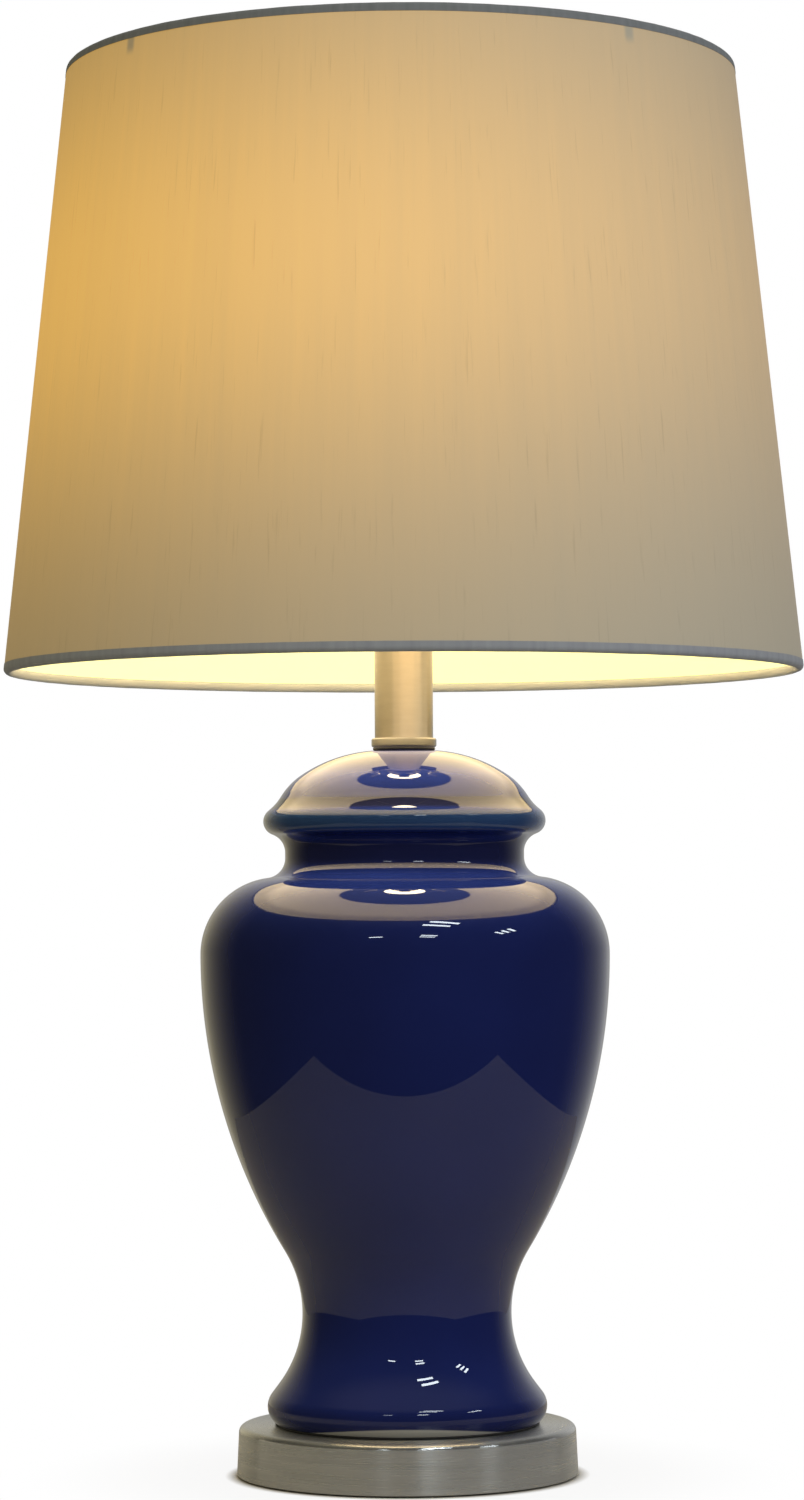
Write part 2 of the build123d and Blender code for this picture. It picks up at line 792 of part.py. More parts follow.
# Finial, a turned ball that screws onto the stud and holds the shade down
finial_bottom = hub_bottom + hub_height
finial_neck = finial_bottom + finial_foot_height
finial_waist = finial_neck + finial_neck_height
finial_top = finial_bottom + finial_height
finial_centre = finial_top - finial_ball_radius
with BuildPart() as finial:
    with BuildSketch(Plane.XZ):
        with BuildLine():
            ball_drop = (finial_ball_radius**2 - finial_neck_radius**2) ** 0.5
            ball_foot = (finial_neck_radius, finial_centre - ball_drop)
            Polyline(
                (0, finial_top),
                (0, finial_bottom),
                (finial_foot_radius, finial_bottom),
                (finial_foot_radius, finial_neck),
                (finial_neck_radius, finial_neck + finial_foot_height / 2),
                ball_foot,
            )
            ThreePointArc(ball_foot, (finial_ball_radius, finial_centre), (0, finial_top))
        make_face()
    revolve(axis=Axis.Z)
    with BuildSketch(Plane.XY.offset(finial_bottom)):
        Circle(finial_bore)
    extrude(amount=finial_bore_depth, mode=Mode.SUBTRACT)
save(finial.part, "finial")

print("jar top", round(jar_top, 2), "globe top", round(globe_top, 2), "finial top", round(finial_top, 2))
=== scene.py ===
import math

import bpy
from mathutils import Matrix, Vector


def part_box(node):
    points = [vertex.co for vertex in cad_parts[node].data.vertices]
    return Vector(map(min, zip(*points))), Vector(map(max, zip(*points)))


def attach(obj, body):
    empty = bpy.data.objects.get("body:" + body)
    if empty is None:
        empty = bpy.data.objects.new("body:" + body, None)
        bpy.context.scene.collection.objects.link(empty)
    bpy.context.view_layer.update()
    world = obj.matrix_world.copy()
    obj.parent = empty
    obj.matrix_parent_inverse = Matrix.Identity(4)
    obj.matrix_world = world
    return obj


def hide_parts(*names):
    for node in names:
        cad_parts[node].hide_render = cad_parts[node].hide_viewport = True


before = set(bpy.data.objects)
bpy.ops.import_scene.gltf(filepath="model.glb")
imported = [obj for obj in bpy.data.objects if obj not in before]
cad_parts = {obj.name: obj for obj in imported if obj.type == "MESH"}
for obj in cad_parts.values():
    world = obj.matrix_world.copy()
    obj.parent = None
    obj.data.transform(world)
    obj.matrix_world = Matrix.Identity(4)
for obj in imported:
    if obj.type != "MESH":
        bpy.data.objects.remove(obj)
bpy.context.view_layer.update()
mm = 0.001
print("frame loaded:", len(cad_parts), "nodes")


# sizes that several pieces and finishes share

rodHole = 5.3 * mm
shadeForm = dict(
    bottomRadius=177.8 * mm, topRadius=149.2 * mm, bottom=355.5 * mm, height=270.5 * mm, hem=4.1 * mm,
    cloth=0.5 * mm, columns=360, rows=40, seam=84, lap=9 * mm, lapColumns=8, lapLead=2, lapRamp=3,
    lapLift=1.1, liner=0.5 * mm, linerSteps=240,
)
shadeLean = shadeForm["bottomRadius"] - shadeForm["topRadius"]
slopeLength = math.hypot(shadeForm["height"], shadeLean)
spiderForm = dict(
    arms=4, first=-50.0, wire=1.2 * mm, clear=1.5 * mm, rise=625.1 * mm, drop=615.8 * mm, bend=6 * mm,
    intoHub=0.3 * mm, hubRadius=12 * mm, hubHole=3.45 * mm, hubEdge=0.5 * mm,
)


# small helpers for modelling

def editMode():
    bpy.ops.object.mode_set(mode="EDIT")


def objectMode():
    bpy.ops.object.mode_set(mode="OBJECT")


def selectAll():
    bpy.ops.mesh.select_all(action="SELECT")


def freshStart():
    if bpy.context.mode != "OBJECT":
        objectMode()
    bpy.ops.object.select_all(action="DESELECT")


def pick(obj):
    freshStart()
    obj.select_set(True)
    bpy.context.view_layer.objects.active = obj


def applyModifier(obj, kind, **values):
    pick(obj)
    modifier = obj.modifiers.new(kind.title(), kind)
    for key, value in values.items():
        setattr(modifier, key, value)
    bpy.ops.object.modifier_apply(modifier=modifier.name)


def applyPlace(obj):
    # the piece's place and turn go into its mesh
    pick(obj)
    bpy.ops.object.transform_apply(location=True, rotation=True)


def finishMesh(mergeWithin=0):
    # still in edit mode: merge what meets and turn the faces outward
    selectAll()
    if mergeWithin:
        bpy.ops.mesh.remove_doubles(threshold=mergeWithin)
    bpy.ops.mesh.normals_make_consistent(inside=False)
    objectMode()


class Outline:
    # an outline in the XZ plane, walked from point to point; heading 0 is outward, 90 is up

    def __init__(self, name, x, z, heading=90):
        freshStart()
        bpy.ops.mesh.primitive_plane_add(size=mm)
        self.obj = bpy.context.object
        self.obj.name = self.obj.data.name = name
        editMode()
        selectAll()
        bpy.ops.mesh.merge(type="CENTER")
        bpy.ops.transform.translate(value=(x, 0, z))
        self.x, self.z, self.heading = x, z, heading

    def to(self, x, z):
        dx, dz = x - self.x, z - self.z
        bpy.ops.mesh.extrude_region_move(TRANSFORM_OT_translate={"value": (dx, 0, dz)})
        self.x, self.z = x, z
        self.heading = math.degrees(math.atan2(dz, dx))
        return self

    def arc(self, radius, endHeading, step):
        turn = endHeading - self.heading
        side = radius if turn > 0 else -radius
        start, end = math.radians(self.heading), math.radians(endHeading)
        cx, cz = self.x - side * math.sin(start), self.z + side * math.cos(start)
        bpy.ops.mesh.spin(
            steps=max(2, math.ceil(abs(turn) / step)), angle=math.radians(turn),
            center=(cx, 0, cz), axis=(0, 1, 0), use_auto_merge=False,
        )
        self.x, self.z = cx + side * math.sin(end), cz - side * math.cos(end)
        self.heading = endHeading
        return self

    def corner(self, x, z, radius, endHeading, step):
        # straight towards a square corner, and round it
        dx, dz = x - self.x, z - self.z
        share = 1 - radius / math.hypot(dx, dz)
        self.to(self.x + dx * share, self.z + dz * share)
        self.heading = round(self.heading)
        return self.arc(radius, endHeading, step)

    def lathe(self, steps):
        selectAll()
        bpy.ops.mesh.spin(steps=steps, angle=2 * math.pi, center=(0, 0, 0), axis=(0, 0, 1))
        finishMesh(mergeWithin=1e-6)
        return self.obj

    def wire(self, radius, roundness):
        objectMode()
        bpy.ops.object.convert(target="CURVE")
        curve = bpy.context.object.data
        curve.bevel_depth, curve.bevel_resolution, curve.use_fill_caps = radius, roundness, True
        bpy.ops.object.convert(target="MESH")
        editMode()
        finishMesh(mergeWithin=1e-7)
        return bpy.context.object


def settle(obj, body, slotName, material, *nodes, smooth=40):
    # finish, body and the nodes that this piece stands for
    obj.data.materials.clear()
    obj.data.materials.append(material)
    pick(obj)
    bpy.ops.object.shade_smooth_by_angle(angle=math.radians(smooth))
    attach(obj, body)
    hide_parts(*nodes)
    return obj


# small helpers for materials

noiseSpan, wideSpan = (0.3, 0.7), (0.25, 0.75)  # where most of a noise lies


def grey(level):
    return (level, level, level, 1)


def darken(color, share):
    return (*(share * c for c in color[:3]), 1)


def join(tree, node, inputs):
    # a socket is linked, anything else is set as a plain value
    for key, value in inputs.items():
        if isinstance(value, bpy.types.NodeSocket):
            tree.links.new(value, node.inputs[key])
        else:
            node.inputs[key].default_value = value


def addNode(tree, kind, settings=None, inputs=None):
    made = tree.nodes.new(kind)
    for key, value in (settings or {}).items():
        setattr(made, key, value)
    join(tree, made, inputs or {})
    return made


def calc(tree, operation, first, second=0.0):
    return addNode(tree, "ShaderNodeMath", {"operation": operation}, {0: first, 1: second}).outputs[0]


def times(tree, first, *others):
    for other in others:
        first = calc(tree, "MULTIPLY", first, other)
    return first


def blendColors(tree, factor, first, second, blend="MIX"):
    made = addNode(
        tree, "ShaderNodeMix", {"data_type": "RGBA", "blend_type": blend},
        {"Factor": factor, 6: first, 7: second},
    )
    return made.outputs[2]


def atLevel(tree, color, level):
    return blendColors(tree, 1.0, color, level, "MULTIPLY")


def fit(tree, value, low, high, newLow=0.0, newHigh=1.0, smooth=False):
    kind = "SMOOTHSTEP" if smooth else "LINEAR"
    made = addNode(
        tree, "ShaderNodeMapRange", {"interpolation_type": kind},
        {"Value": value, "From Min": low, "From Max": high, "To Min": newLow, "To Max": newHigh},
    )
    return made.outputs["Result"]


def between(tree, share, low, high):
    return fit(tree, share, 0.0, 1.0, low, high)


def noise(tree, vector, scale, detail=2.0, roughness=0.5):
    made = addNode(
        tree, "ShaderNodeTexNoise", None,
        {"Vector": vector, "Scale": scale, "Detail": detail, "Roughness": roughness},
    )
    return made.outputs[0]


def vector(tree, x, y, z):
    return addNode(tree, "ShaderNodeCombineXYZ", None, {"X": x, "Y": y, "Z": z}).outputs[0]


def split(tree, vector):
    parts = addNode(tree, "ShaderNodeSeparateXYZ", None, {0: vector}).outputs
    return parts["X"], parts["Y"], parts["Z"]


def heightBand(tree, z, middle, half, core=0.4):
    # 1 at a height, 0 further than half above or below it
    off = calc(tree, "ABSOLUTE", calc(tree, "SUBTRACT", z, middle))
    return fit(tree, off, core * half, half, 1.0, 0.0, smooth=True)


def place(tree):
    # position on the piece, as x, y, z, distance from the lamp's axis and angle round it
    coords = addNode(tree, "ShaderNodeTexCoord").outputs["Object"]
    x, y, z = split(tree, coords)
    away = calc(tree, "SQRT", calc(tree, "ADD", times(tree, x, x), times(tree, y, y)))
    return {"coords": coords, "x": x, "y": y, "z": z, "away": away, "angle": calc(tree, "ARCTAN2", y, x)}


def newGroup(name, inputs, *outputs):
    # inputs are numbers with their first value, or a vector where that is None; outputs are numbers
    tree = bpy.data.node_groups.new(name, "ShaderNodeTree")
    for label, value in inputs.items():
        kind = "NodeSocketVector" if value is None else "NodeSocketFloat"
        socket = tree.interface.new_socket(label, in_out="INPUT", socket_type=kind)
        if value is not None:
            socket.default_value = value
    for label in outputs:
        tree.interface.new_socket(label, in_out="OUTPUT", socket_type="NodeSocketFloat")
    return tree, tree.nodes.new("NodeGroupOutput"), tree.nodes.new("NodeGroupInput").outputs


def useGroup(tree, group, inputs=None):
    return addNode(tree, "ShaderNodeGroup", {"node_tree": group}, inputs).outputs


def newMaterial(name, **values):
    material = bpy.data.materials.new(name)
    material.use_nodes = True
    tree = material.node_tree
    shader = tree.nodes["Principled BSDF"]
    for key, value in values.items():
        shader.inputs[key.replace("_", " ")].default_value = value
    return material, tree, shader


def bump(tree, shader, height, strength, distance):
    made = addNode(
        tree, "ShaderNodeBump", None,
        {"Strength": strength, "Distance": distance, "Height": height},
    )
    join(tree, shader, {"Normal": made.outputs[0]})


# shared effects

def makeHandling():
    # faint smears and dust that make a finish uneven
    form = dict(detail=4.0, mix=0.6, maskSpan=(0.35, 0.75))
    tree, out, given = newGroup("handling", {"Scale": 20.0, "Low": 0.2, "High": 0.4}, "Roughness", "Mask")
    cloud = noise(tree, place(tree)["coords"], given["Scale"], form["detail"], form["mix"])
    join(tree, out, {
        "Roughness": fit(tree, cloud, *noiseSpan, given["Low"], given["High"]),
        "Mask": fit(tree, cloud, *form["maskSpan"]),
    })
    return tree


def makeTurnedMarks():
    # fine lines left round the axis by brushing on a lathe, and broader streaks among them
    form = dict(fine=(1.0, 3.0, 0.65), broad=(1.0, 2.0), broadShare=0.12, apart=4.0)
    tree, out, given = newGroup("turnedMarks", {"Lines": 2500.0, "Streaks": 1.5}, "Height", "Streak")
    spot = place(tree)
    across = times(tree, calc(tree, "ADD", spot["away"], spot["z"]), given["Lines"])
    along = times(tree, spot["angle"], given["Streaks"])
    broad = vector(tree, times(tree, across, form["broadShare"]), along, form["apart"])
    join(tree, out, {
        "Height": noise(tree, vector(tree, across, along, 0.0), *form["fine"]),
        "Streak": noise(tree, broad, *form["broad"]),
    })
    return tree


def makeSlubWeave():
    # plain weave with thick, uneven threads that run up the cloth
    form = dict(
        slubs=(620.0, 26.0, 0.0), slubNoise=(2.0, 0.6), slubSpan=(0.62, 0.80),
        drift=(160.0, 5.0, 3.0), driftNoise=(3.0, 0.6), pitch=0.7 * mm, relief=0.25,
    )
    tree, out, given = newGroup("slubWeave", {"Vector": None}, "Height", "Slub", "Shade")
    across, along = split(tree, given["Vector"])[:2]

    def streaks(pattern, detail):
        runs = vector(tree, times(tree, across, pattern[0]), times(tree, along, pattern[1]), pattern[2])
        return noise(tree, runs, 1.0, *detail)

    slub = fit(tree, streaks(form["slubs"], form["slubNoise"]), *form["slubSpan"])
    turns = 2 * math.pi / form["pitch"]
    warp, weft = (calc(tree, "SINE", times(tree, run, turns)) for run in (across, along))
    join(tree, out, {
        "Height": calc(tree, "ADD", times(tree, warp, weft, form["relief"]), slub),
        "Slub": slub,
        "Shade": streaks(form["drift"], form["driftNoise"]),
    })
    return tree


def makeBulbGlow():
    # how strongly the bulb lights a place on the shade: it falls off with distance, and it leans to the left
    form = dict(height=510 * mm, reach=160 * mm, falloff=3.5, bright=-40 * mm, dim=215 * mm, dimTo=0.41)
    tree, out = newGroup("bulbGlow", {}, "Glow")[:2]
    spot = place(tree)
    up = calc(tree, "SUBTRACT", spot["z"], form["height"])
    square = calc(tree, "ADD", times(tree, spot["away"], spot["away"]), times(tree, up, up))
    near = calc(tree, "DIVIDE", form["reach"], calc(tree, "SQRT", square))
    side = fit(tree, spot["x"], form["bright"], form["dim"], 1.0, form["dimTo"], smooth=True)
    join(tree, out, {"Glow": times(tree, calc(tree, "POWER", near, form["falloff"]), side)})
    return tree


handling, turnedMarks = makeHandling(), makeTurnedMarks()
slubWeave, bulbGlow = makeSlubWeave(), makeBulbGlow()


# materials

def cobaltGlaze():
    # valley, collar, brim and crown are each a depth below the jar's top and half a width
    look = dict(
        deep=(0.009, 0.016, 0.108, 1), pooled=(0.0065, 0.011, 0.074, 1), clouds=(9.0, 3.0),
        hollowShade=(0.007, 0.0065, 0.026, 1), valley=(23.8 * mm, 3.4 * mm),
        collar=(45.5 * mm, 8.5 * mm), collarShare=0.5, crown=(0, 12 * mm), crownShare=0.9,
        brimLight=(0.020, 0.052, 0.16, 1), brim=(32 * mm, 5.5 * mm),
        clay=(0.40, 0.39, 0.36, 1), bareHeight=3.6 * mm, bareHalf=42 * mm, bareEdge=(-0.2 * mm, 0.3 * mm),
        dullness=0.8, smears={"Scale": 14.0, "Low": 0.0, "High": 0.01},
        ripple=(32.0, 2.0), relief=(0.02, 0.4 * mm),
    )
    material, tree, shader = newMaterial("cobaltGlaze", IOR=1.52)
    spot = place(tree)
    foot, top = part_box("jar")
    cloud = noise(tree, spot["coords"], *look["clouds"])
    color = blendColors(tree, fit(tree, cloud, *noiseSpan), look["deep"], look["pooled"])
    # painted light on the lid's brim, where the shade's light falls, and painted shade that darkens the
    # valley, collar and crown
    valley, collar, brim, crown = (
        heightBand(tree, spot["z"], top.z - look[part][0], look[part][1])
        for part in ("valley", "collar", "brim", "crown")
    )
    color = blendColors(tree, brim, color, look["brimLight"])
    shaded = calc(tree, "MAXIMUM", valley, times(tree, collar, look["collarShare"]))
    shaded = calc(tree, "MAXIMUM", shaded, times(tree, crown, look["crownShare"]))
    color = blendColors(tree, shaded, color, look["hollowShade"])
    # it stops short at the front of the foot and leaves a crescent of bare clay
    across = calc(tree, "DIVIDE", spot["x"], look["bareHalf"])
    arch = calc(tree, "SUBTRACT", 1.0, times(tree, across, across))
    edge = calc(tree, "ADD", foot.z, times(tree, arch, look["bareHeight"]))
    bare = fit(tree, calc(tree, "SUBTRACT", edge, spot["z"]), *look["bareEdge"])
    bare = times(tree, bare, calc(tree, "LESS_THAN", spot["y"], 0.0))
    rough = useGroup(tree, handling, look["smears"])["Roughness"]
    join(tree, shader, {
        "Base Color": blendColors(tree, bare, color, look["clay"]),
        "Roughness": between(tree, bare, rough, look["dullness"]),
    })
    bump(tree, shader, noise(tree, spot["coords"], *look["ripple"]), *look["relief"])
    return material


def brushedNickel(name, lines, tint, streak, rough, metal, edge=None, glare=None):
    look = dict(turns=1.2, relief=(0.10, 0.15 * mm))
    material, tree, shader = newMaterial(name, Metallic=metal, Anisotropic=1.0, Anisotropic_Rotation=0.25)
    if glare:
        # painted glow that only mirrored rays see, so the glaze below shows the side that faces the lit shade
        # bright
        mirrored = addNode(tree, "ShaderNodeLightPath").outputs["Is Glossy Ray"]
        join(tree, shader, {"Emission Color": atLevel(tree, glare, mirrored), "Emission Strength": 1.0})
        material.cycles.emission_sampling = "NONE"
    marks = useGroup(tree, turnedMarks, {"Lines": lines, "Streaks": look["turns"]})
    dull = fit(tree, marks["Height"], *wideSpan, *rough)
    if edge:
        # the rounded edge is rubbed smooth
        onEdge = heightBand(tree, place(tree)["z"], edge["height"], edge["half"])
        dull = between(tree, onEdge, dull, edge["rough"])
    tangent = addNode(tree, "ShaderNodeTangent", {"direction_type": "RADIAL", "axis": "Z"})
    join(tree, shader, {
        "Base Color": blendColors(tree, fit(tree, marks["Streak"], *noiseSpan), tint, darken(tint, streak)),
        "Roughness": dull,
        "Tangent": tangent.outputs[0],
    })
    bump(tree, shader, marks["Height"], *look["relief"])
    return material


def plainMetal(name, tint, low, high):
    look = dict(smears=60.0, smearShare=0.8)
    material, tree, shader = newMaterial(name, Metallic=1.0)
    smear = useGroup(tree, handling, {"Scale": look["smears"], "Low": low, "High": high})
    color = blendColors(tree, smear["Mask"], tint, darken(tint, look["smearShare"]))
    join(tree, shader, {"Base Color": color, "Roughness": smear["Roughness"]})
    return material


def dullSolid(name, color, darker, low, high, grain, depth):
    look = dict(smears=40.0, detail=3.0, strength=0.4)
    material, tree, shader = newMaterial(name)
    smear = useGroup(tree, handling, {"Scale": look["smears"], "Low": low, "High": high})
    color = blendColors(tree, smear["Mask"], color, darker)
    join(tree, shader, {"Base Color": color, "Roughness": smear["Roughness"]})
    bump(tree, shader, noise(tree, place(tree)["coords"], grain, look["detail"]), look["strength"], depth)
    return material


def armShadow(tree):
    # the end of each spider arm stands close behind the cloth and shows as a short dark mark
    mark = dict(aside=(1.1 * mm, 3.52 * mm), down=(8.25 * mm, 3.3 * mm), dark=0.35)
    spot = place(tree)
    apart = 2 * math.pi / spiderForm["arms"]
    # ten steps more keep the angle above zero, and half a step sets the mark in the middle of its step
    shift = (10 + 0.5) * apart - math.radians(spiderForm["first"])
    turned = calc(tree, "MODULO", calc(tree, "ADD", spot["angle"], shift), apart)
    aside = times(tree, calc(tree, "ABSOLUTE", calc(tree, "SUBTRACT", turned, apart / 2)), spot["away"])
    near = fit(tree, aside, *mark["aside"], 1.0, 0.0, smooth=True)
    topEdge = shadeForm["bottom"] + shadeForm["height"] - shadeForm["hem"]
    below = fit(tree, spot["z"], *(topEdge - down for down in mark["down"]), smooth=True)
    return between(tree, times(tree, near, below), 1.0, mark["dark"])


def shadeCloth():
    look = dict(
        cloth=(0.42, 0.425, 0.375, 1), slub=(0.36, 0.36, 0.31, 1), glow=(1.0, 0.485, 0.02, 1), level=0.60,
        drift=(1.05, 0.95), slubDim=0.86, relief=(0.35, 0.08 * mm),
    )
    material, tree, shader = newMaterial(
        "shadeCloth", Roughness=0.9, Sheen_Weight=0.15, Emission_Strength=1.0)
    uv = addNode(tree, "ShaderNodeUVMap", {"uv_map": "clothMap"}).outputs[0]
    weave = useGroup(tree, slubWeave, {"Vector": uv})
    drift = fit(tree, weave["Shade"], *wideSpan, *look["drift"])
    threads = between(tree, weave["Slub"], 1.0, look["slubDim"])
    lit = times(tree, useGroup(tree, bulbGlow)["Glow"], look["level"], drift, threads, armShadow(tree))
    join(tree, shader, {
        "Base Color": blendColors(tree, weave["Slub"], look["cloth"], look["slub"]),
        "Emission Color": atLevel(tree, look["glow"], lit),
    })
    bump(tree, shader, weave["Height"], *look["relief"])
    return material


def hemCloth(name, cloth, slub):
    look = dict(
        radius=165 * mm, puckers=240.0, puckerSpan=(0.35, 0.7), litSide=(0.80, 0.78, 0.70, 1),
        litSideEdge=(3.2 * mm, 2.2 * mm), relief=(0.4, 0.1 * mm),
    )
    material, tree, shader = newMaterial(name, Roughness=0.9, Sheen_Weight=0.1)
    spot = place(tree)
    around = times(tree, spot["angle"], look["radius"])
    weave = useGroup(tree, slubWeave, {"Vector": vector(tree, around, spot["z"], 0.0)})
    pucker = noise(tree, vector(tree, times(tree, around, look["puckers"]), 0.0, 0.0), 1.0)
    color = blendColors(tree, fit(tree, pucker, *look["puckerSpan"]), cloth, slub)
    # painted light: the side that faces the bulb is lighter, where the bulb's light falls on it
    lean = shadeLean / shadeForm["height"]
    wide = calc(tree, "ADD", spot["away"], times(tree, spot["z"], lean))
    wall = shadeForm["bottomRadius"] + shadeForm["bottom"] * lean
    inside = fit(tree, wide, *(wall - edge for edge in look["litSideEdge"]), 1.0, 0.0)
    join(tree, shader, {"Base Color": blendColors(tree, inside, color, look["litSide"])})
    bump(tree, shader, weave["Height"], *look["relief"])
    return material


def shadeLiner():
    look = dict(
        sheet=(0.86, 0.82, 0.72, 1), worn=(0.82, 0.77, 0.66, 1), lowWarmTint=(0.86, 0.81, 0.46, 1),
        lowGlow=(1.0, 0.98, 0.46, 1), highGlow=(1.0, 0.86, 0.62, 1), glowLevel=(0.85, 0.12),
        lowGlare=(1.0, 0.76, 0.44, 1), highGlare=(1.0, 0.77, 0.42, 1), glareLevel=(1.8, 3.4),
        lowBand=(375 * mm, 405 * mm), smears={"Scale": 16.0, "Low": 0.5, "High": 0.7},
    )
    material, tree, shader = newMaterial("shadeLiner", Roughness=0.6, Emission_Strength=1.0)
    smear = useGroup(tree, handling, look["smears"])
    sheet = blendColors(tree, smear["Mask"], look["sheet"], look["worn"])
    # painted light: the lowest band takes a warmer colour and glows brighter
    up = fit(tree, place(tree)["z"], *look["lowBand"], smooth=True)
    # glaze and metal mirror the sheet at the glare that it has close to the bulb
    mirrored = addNode(tree, "ShaderNodeLightPath").outputs["Is Glossy Ray"]
    glow = blendColors(tree, up, look["lowGlow"], look["highGlow"])
    glare = blendColors(tree, up, look["lowGlare"], look["highGlare"])
    color = blendColors(tree, mirrored, glow, glare)
    glowLevel, glareLevel = (between(tree, up, *look[part]) for part in ("glowLevel", "glareLevel"))
    level = between(tree, mirrored, glowLevel, glareLevel)
    join(tree, shader, {
        "Base Color": blendColors(tree, up, look["lowWarmTint"], sheet),
        "Emission Color": atLevel(tree, color, level),
    })
    material.cycles.emission_sampling = "NONE"
    return material


def frostedBulb():
    look = dict(
        glass=(0.9, 0.88, 0.84, 1), core=(1.0, 0.83, 0.56, 1), rim=(1.0, 0.76, 0.45, 1), rimShare=0.5,
        shines=9.0, mirrored=26.0, seen=0.40,
    )
    material, tree, shader = newMaterial(
        "frostedBulb", Base_Color=look["glass"], Roughness=0.35, Emission_Strength=1.0)
    low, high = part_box("bulb_globe")
    up = fit(tree, place(tree)["z"], low.z, low.z + look["rimShare"] * (high.z - low.z), smooth=True)
    # full strength where it lights or is mirrored, and a level at which its shape shows to the eye
    path = addNode(tree, "ShaderNodeLightPath").outputs
    level = between(tree, path["Is Glossy Ray"], look["shines"], look["mirrored"])
    level = between(tree, path["Is Camera Ray"], level, look["seen"])
    color = blendColors(tree, up, look["rim"], look["core"])
    join(tree, shader, {"Emission Color": atLevel(tree, color, level)})
    return material


glaze = cobaltGlaze()
baseNickel = brushedNickel(
    "baseNickel", lines=2400.0, tint=(0.55, 0.55, 0.545, 1), streak=0.88, rough=(0.25, 0.32), metal=0.86,
    edge=dict(height=20.9 * mm, half=1.0 * mm, rough=0.12),
)
# the neck, its cap and its ring take darker, warmer tints than the base's nickel: painted warm light of the
# bulb on them
neckGlare = (1.0, 0.82, 0.74, 1)
warmLitNeckNickel = brushedNickel(
    "warmLitNeckNickel", lines=3200.0, tint=(0.315, 0.28, 0.215, 1), streak=0.94, rough=(0.36, 0.44), metal=1.0,
    glare=neckGlare,
)
warmLitRingNickel = brushedNickel(
    "warmLitRingNickel", lines=3200.0, tint=(0.34, 0.32, 0.28, 1), streak=0.90, rough=(0.30, 0.40), metal=1.0,
    glare=neckGlare,
)
# tint, and the roughness from clean to smeared
brightNickel = plainMetal("brightNickel", (0.66, 0.64, 0.60, 1), 0.16, 0.30)
zincSteel = plainMetal("zincSteel", grey(0.58), 0.30, 0.50)
plainBrass = plainMetal("plainBrass", (0.72, 0.52, 0.22, 1), 0.22, 0.40)
rolledAluminium = plainMetal("rolledAluminium", grey(0.78), 0.25, 0.40)
# color, darker patches, roughness from and to, grains a metre and their depth
castIron = dullSolid("castIron", grey(0.05), (0.03, 0.025, 0.02, 1), 0.6, 0.8, 400.0, 0.4 * mm)
darkFelt = dullSolid(
    "darkFelt", (0.085, 0.080, 0.075, 1), (0.045, 0.042, 0.04, 1), 0.9, 1.0, 1500.0, 0.4 * mm)
gasketRubber = dullSolid("gasketRubber", (0.03, 0.028, 0.026, 1), grey(0.02), 0.5, 0.7, 900.0, 0.1 * mm)
blackPlastic = dullSolid("blackPlastic", grey(0.02), grey(0.015), 0.25, 0.4, 700.0, 0.05 * mm)
pressedCard = dullSolid(
    "pressedCard", (0.30, 0.20, 0.11, 1), (0.22, 0.14, 0.08, 1), 0.8, 0.9, 900.0, 0.2 * mm)
whiteEnamel = dullSolid(
    "whiteEnamel", (0.72, 0.71, 0.68, 1), (0.62, 0.60, 0.56, 1), 0.3, 0.5, 500.0, 0.05 * mm)
cloth, liner, litGlass = shadeCloth(), shadeLiner(), frostedBulb()
# both hems are one cloth; the top hem's darker copy is painted shade
lowHemCloth = hemCloth("lowHemCloth", (0.36, 0.37, 0.40, 1), (0.30, 0.31, 0.345, 1))
shadedTopHemCloth = hemCloth("shadedTopHemCloth", (0.235, 0.245, 0.255, 1), (0.19, 0.20, 0.21, 1))
print("materials ready:", len(bpy.data.materials))


# base

baseForm = dict(
    bottom=0.7 * mm, radius=75.6 * mm, topRadius=74.6 * mm, top=22.7 * mm, edge=3 * mm, lip=0.5 * mm,
    sheet=1.0 * mm, sideDrop=1.05, sideLean=0.87, topRings=(0.8, 0.55, 0.3), steps=192,
    inletHeight=8 * mm, inletHole=4.65 * mm, inletDepth=12 * mm, inletSides=48,
)


def makeBase():
    form = baseForm
    inward = form["topRadius"] - form["radius"]
    lean = math.degrees(math.atan2(form["top"] - form["bottom"], inward))
    outline = Outline("basePan", form["radius"] - form["sheet"], form["bottom"], 0)
    outline.to(form["radius"] - form["lip"], form["bottom"]).arc(form["lip"], lean, step=15)
    outline.to(form["radius"] + inward * form["sideLean"], form["top"] - form["edge"] * form["sideDrop"])
    outline.arc(form["edge"], 180, step=9)
    for share in form["topRings"]:
        outline.to(form["radius"] * share, outline.z)
    outline.to(rodHole, outline.z)
    pan = outline.lathe(form["steps"])
    applyModifier(pan, "SOLIDIFY", thickness=form["sheet"], offset=-1)
    freshStart()
    bpy.ops.mesh.primitive_cylinder_add(
        vertices=form["inletSides"], radius=form["inletHole"], depth=form["inletDepth"],
        location=(0, form["radius"], form["inletHeight"]), rotation=(math.pi / 2, 0, 0))
    cutter = bpy.context.object
    applyModifier(pan, "BOOLEAN", object=cutter, operation="DIFFERENCE", solver="EXACT")
    bpy.data.objects.remove(cutter)
    return settle(pan, "lamp", "brushed_nickel", baseNickel, "base_pan")


def makeFelt():
    form = dict(edge=0.5 * mm, steps=144)
    low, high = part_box("felt_pad")
    outline = Outline("feltPad", 0, low.z, 0)
    outline.corner(high.x, low.z, form["edge"], 90, step=30)
    outline.corner(high.x, high.z, form["edge"], 180, step=30).to(0, high.z)
    settle(outline.lathe(form["steps"]), "lamp", "felt", darkFelt, "felt_pad")


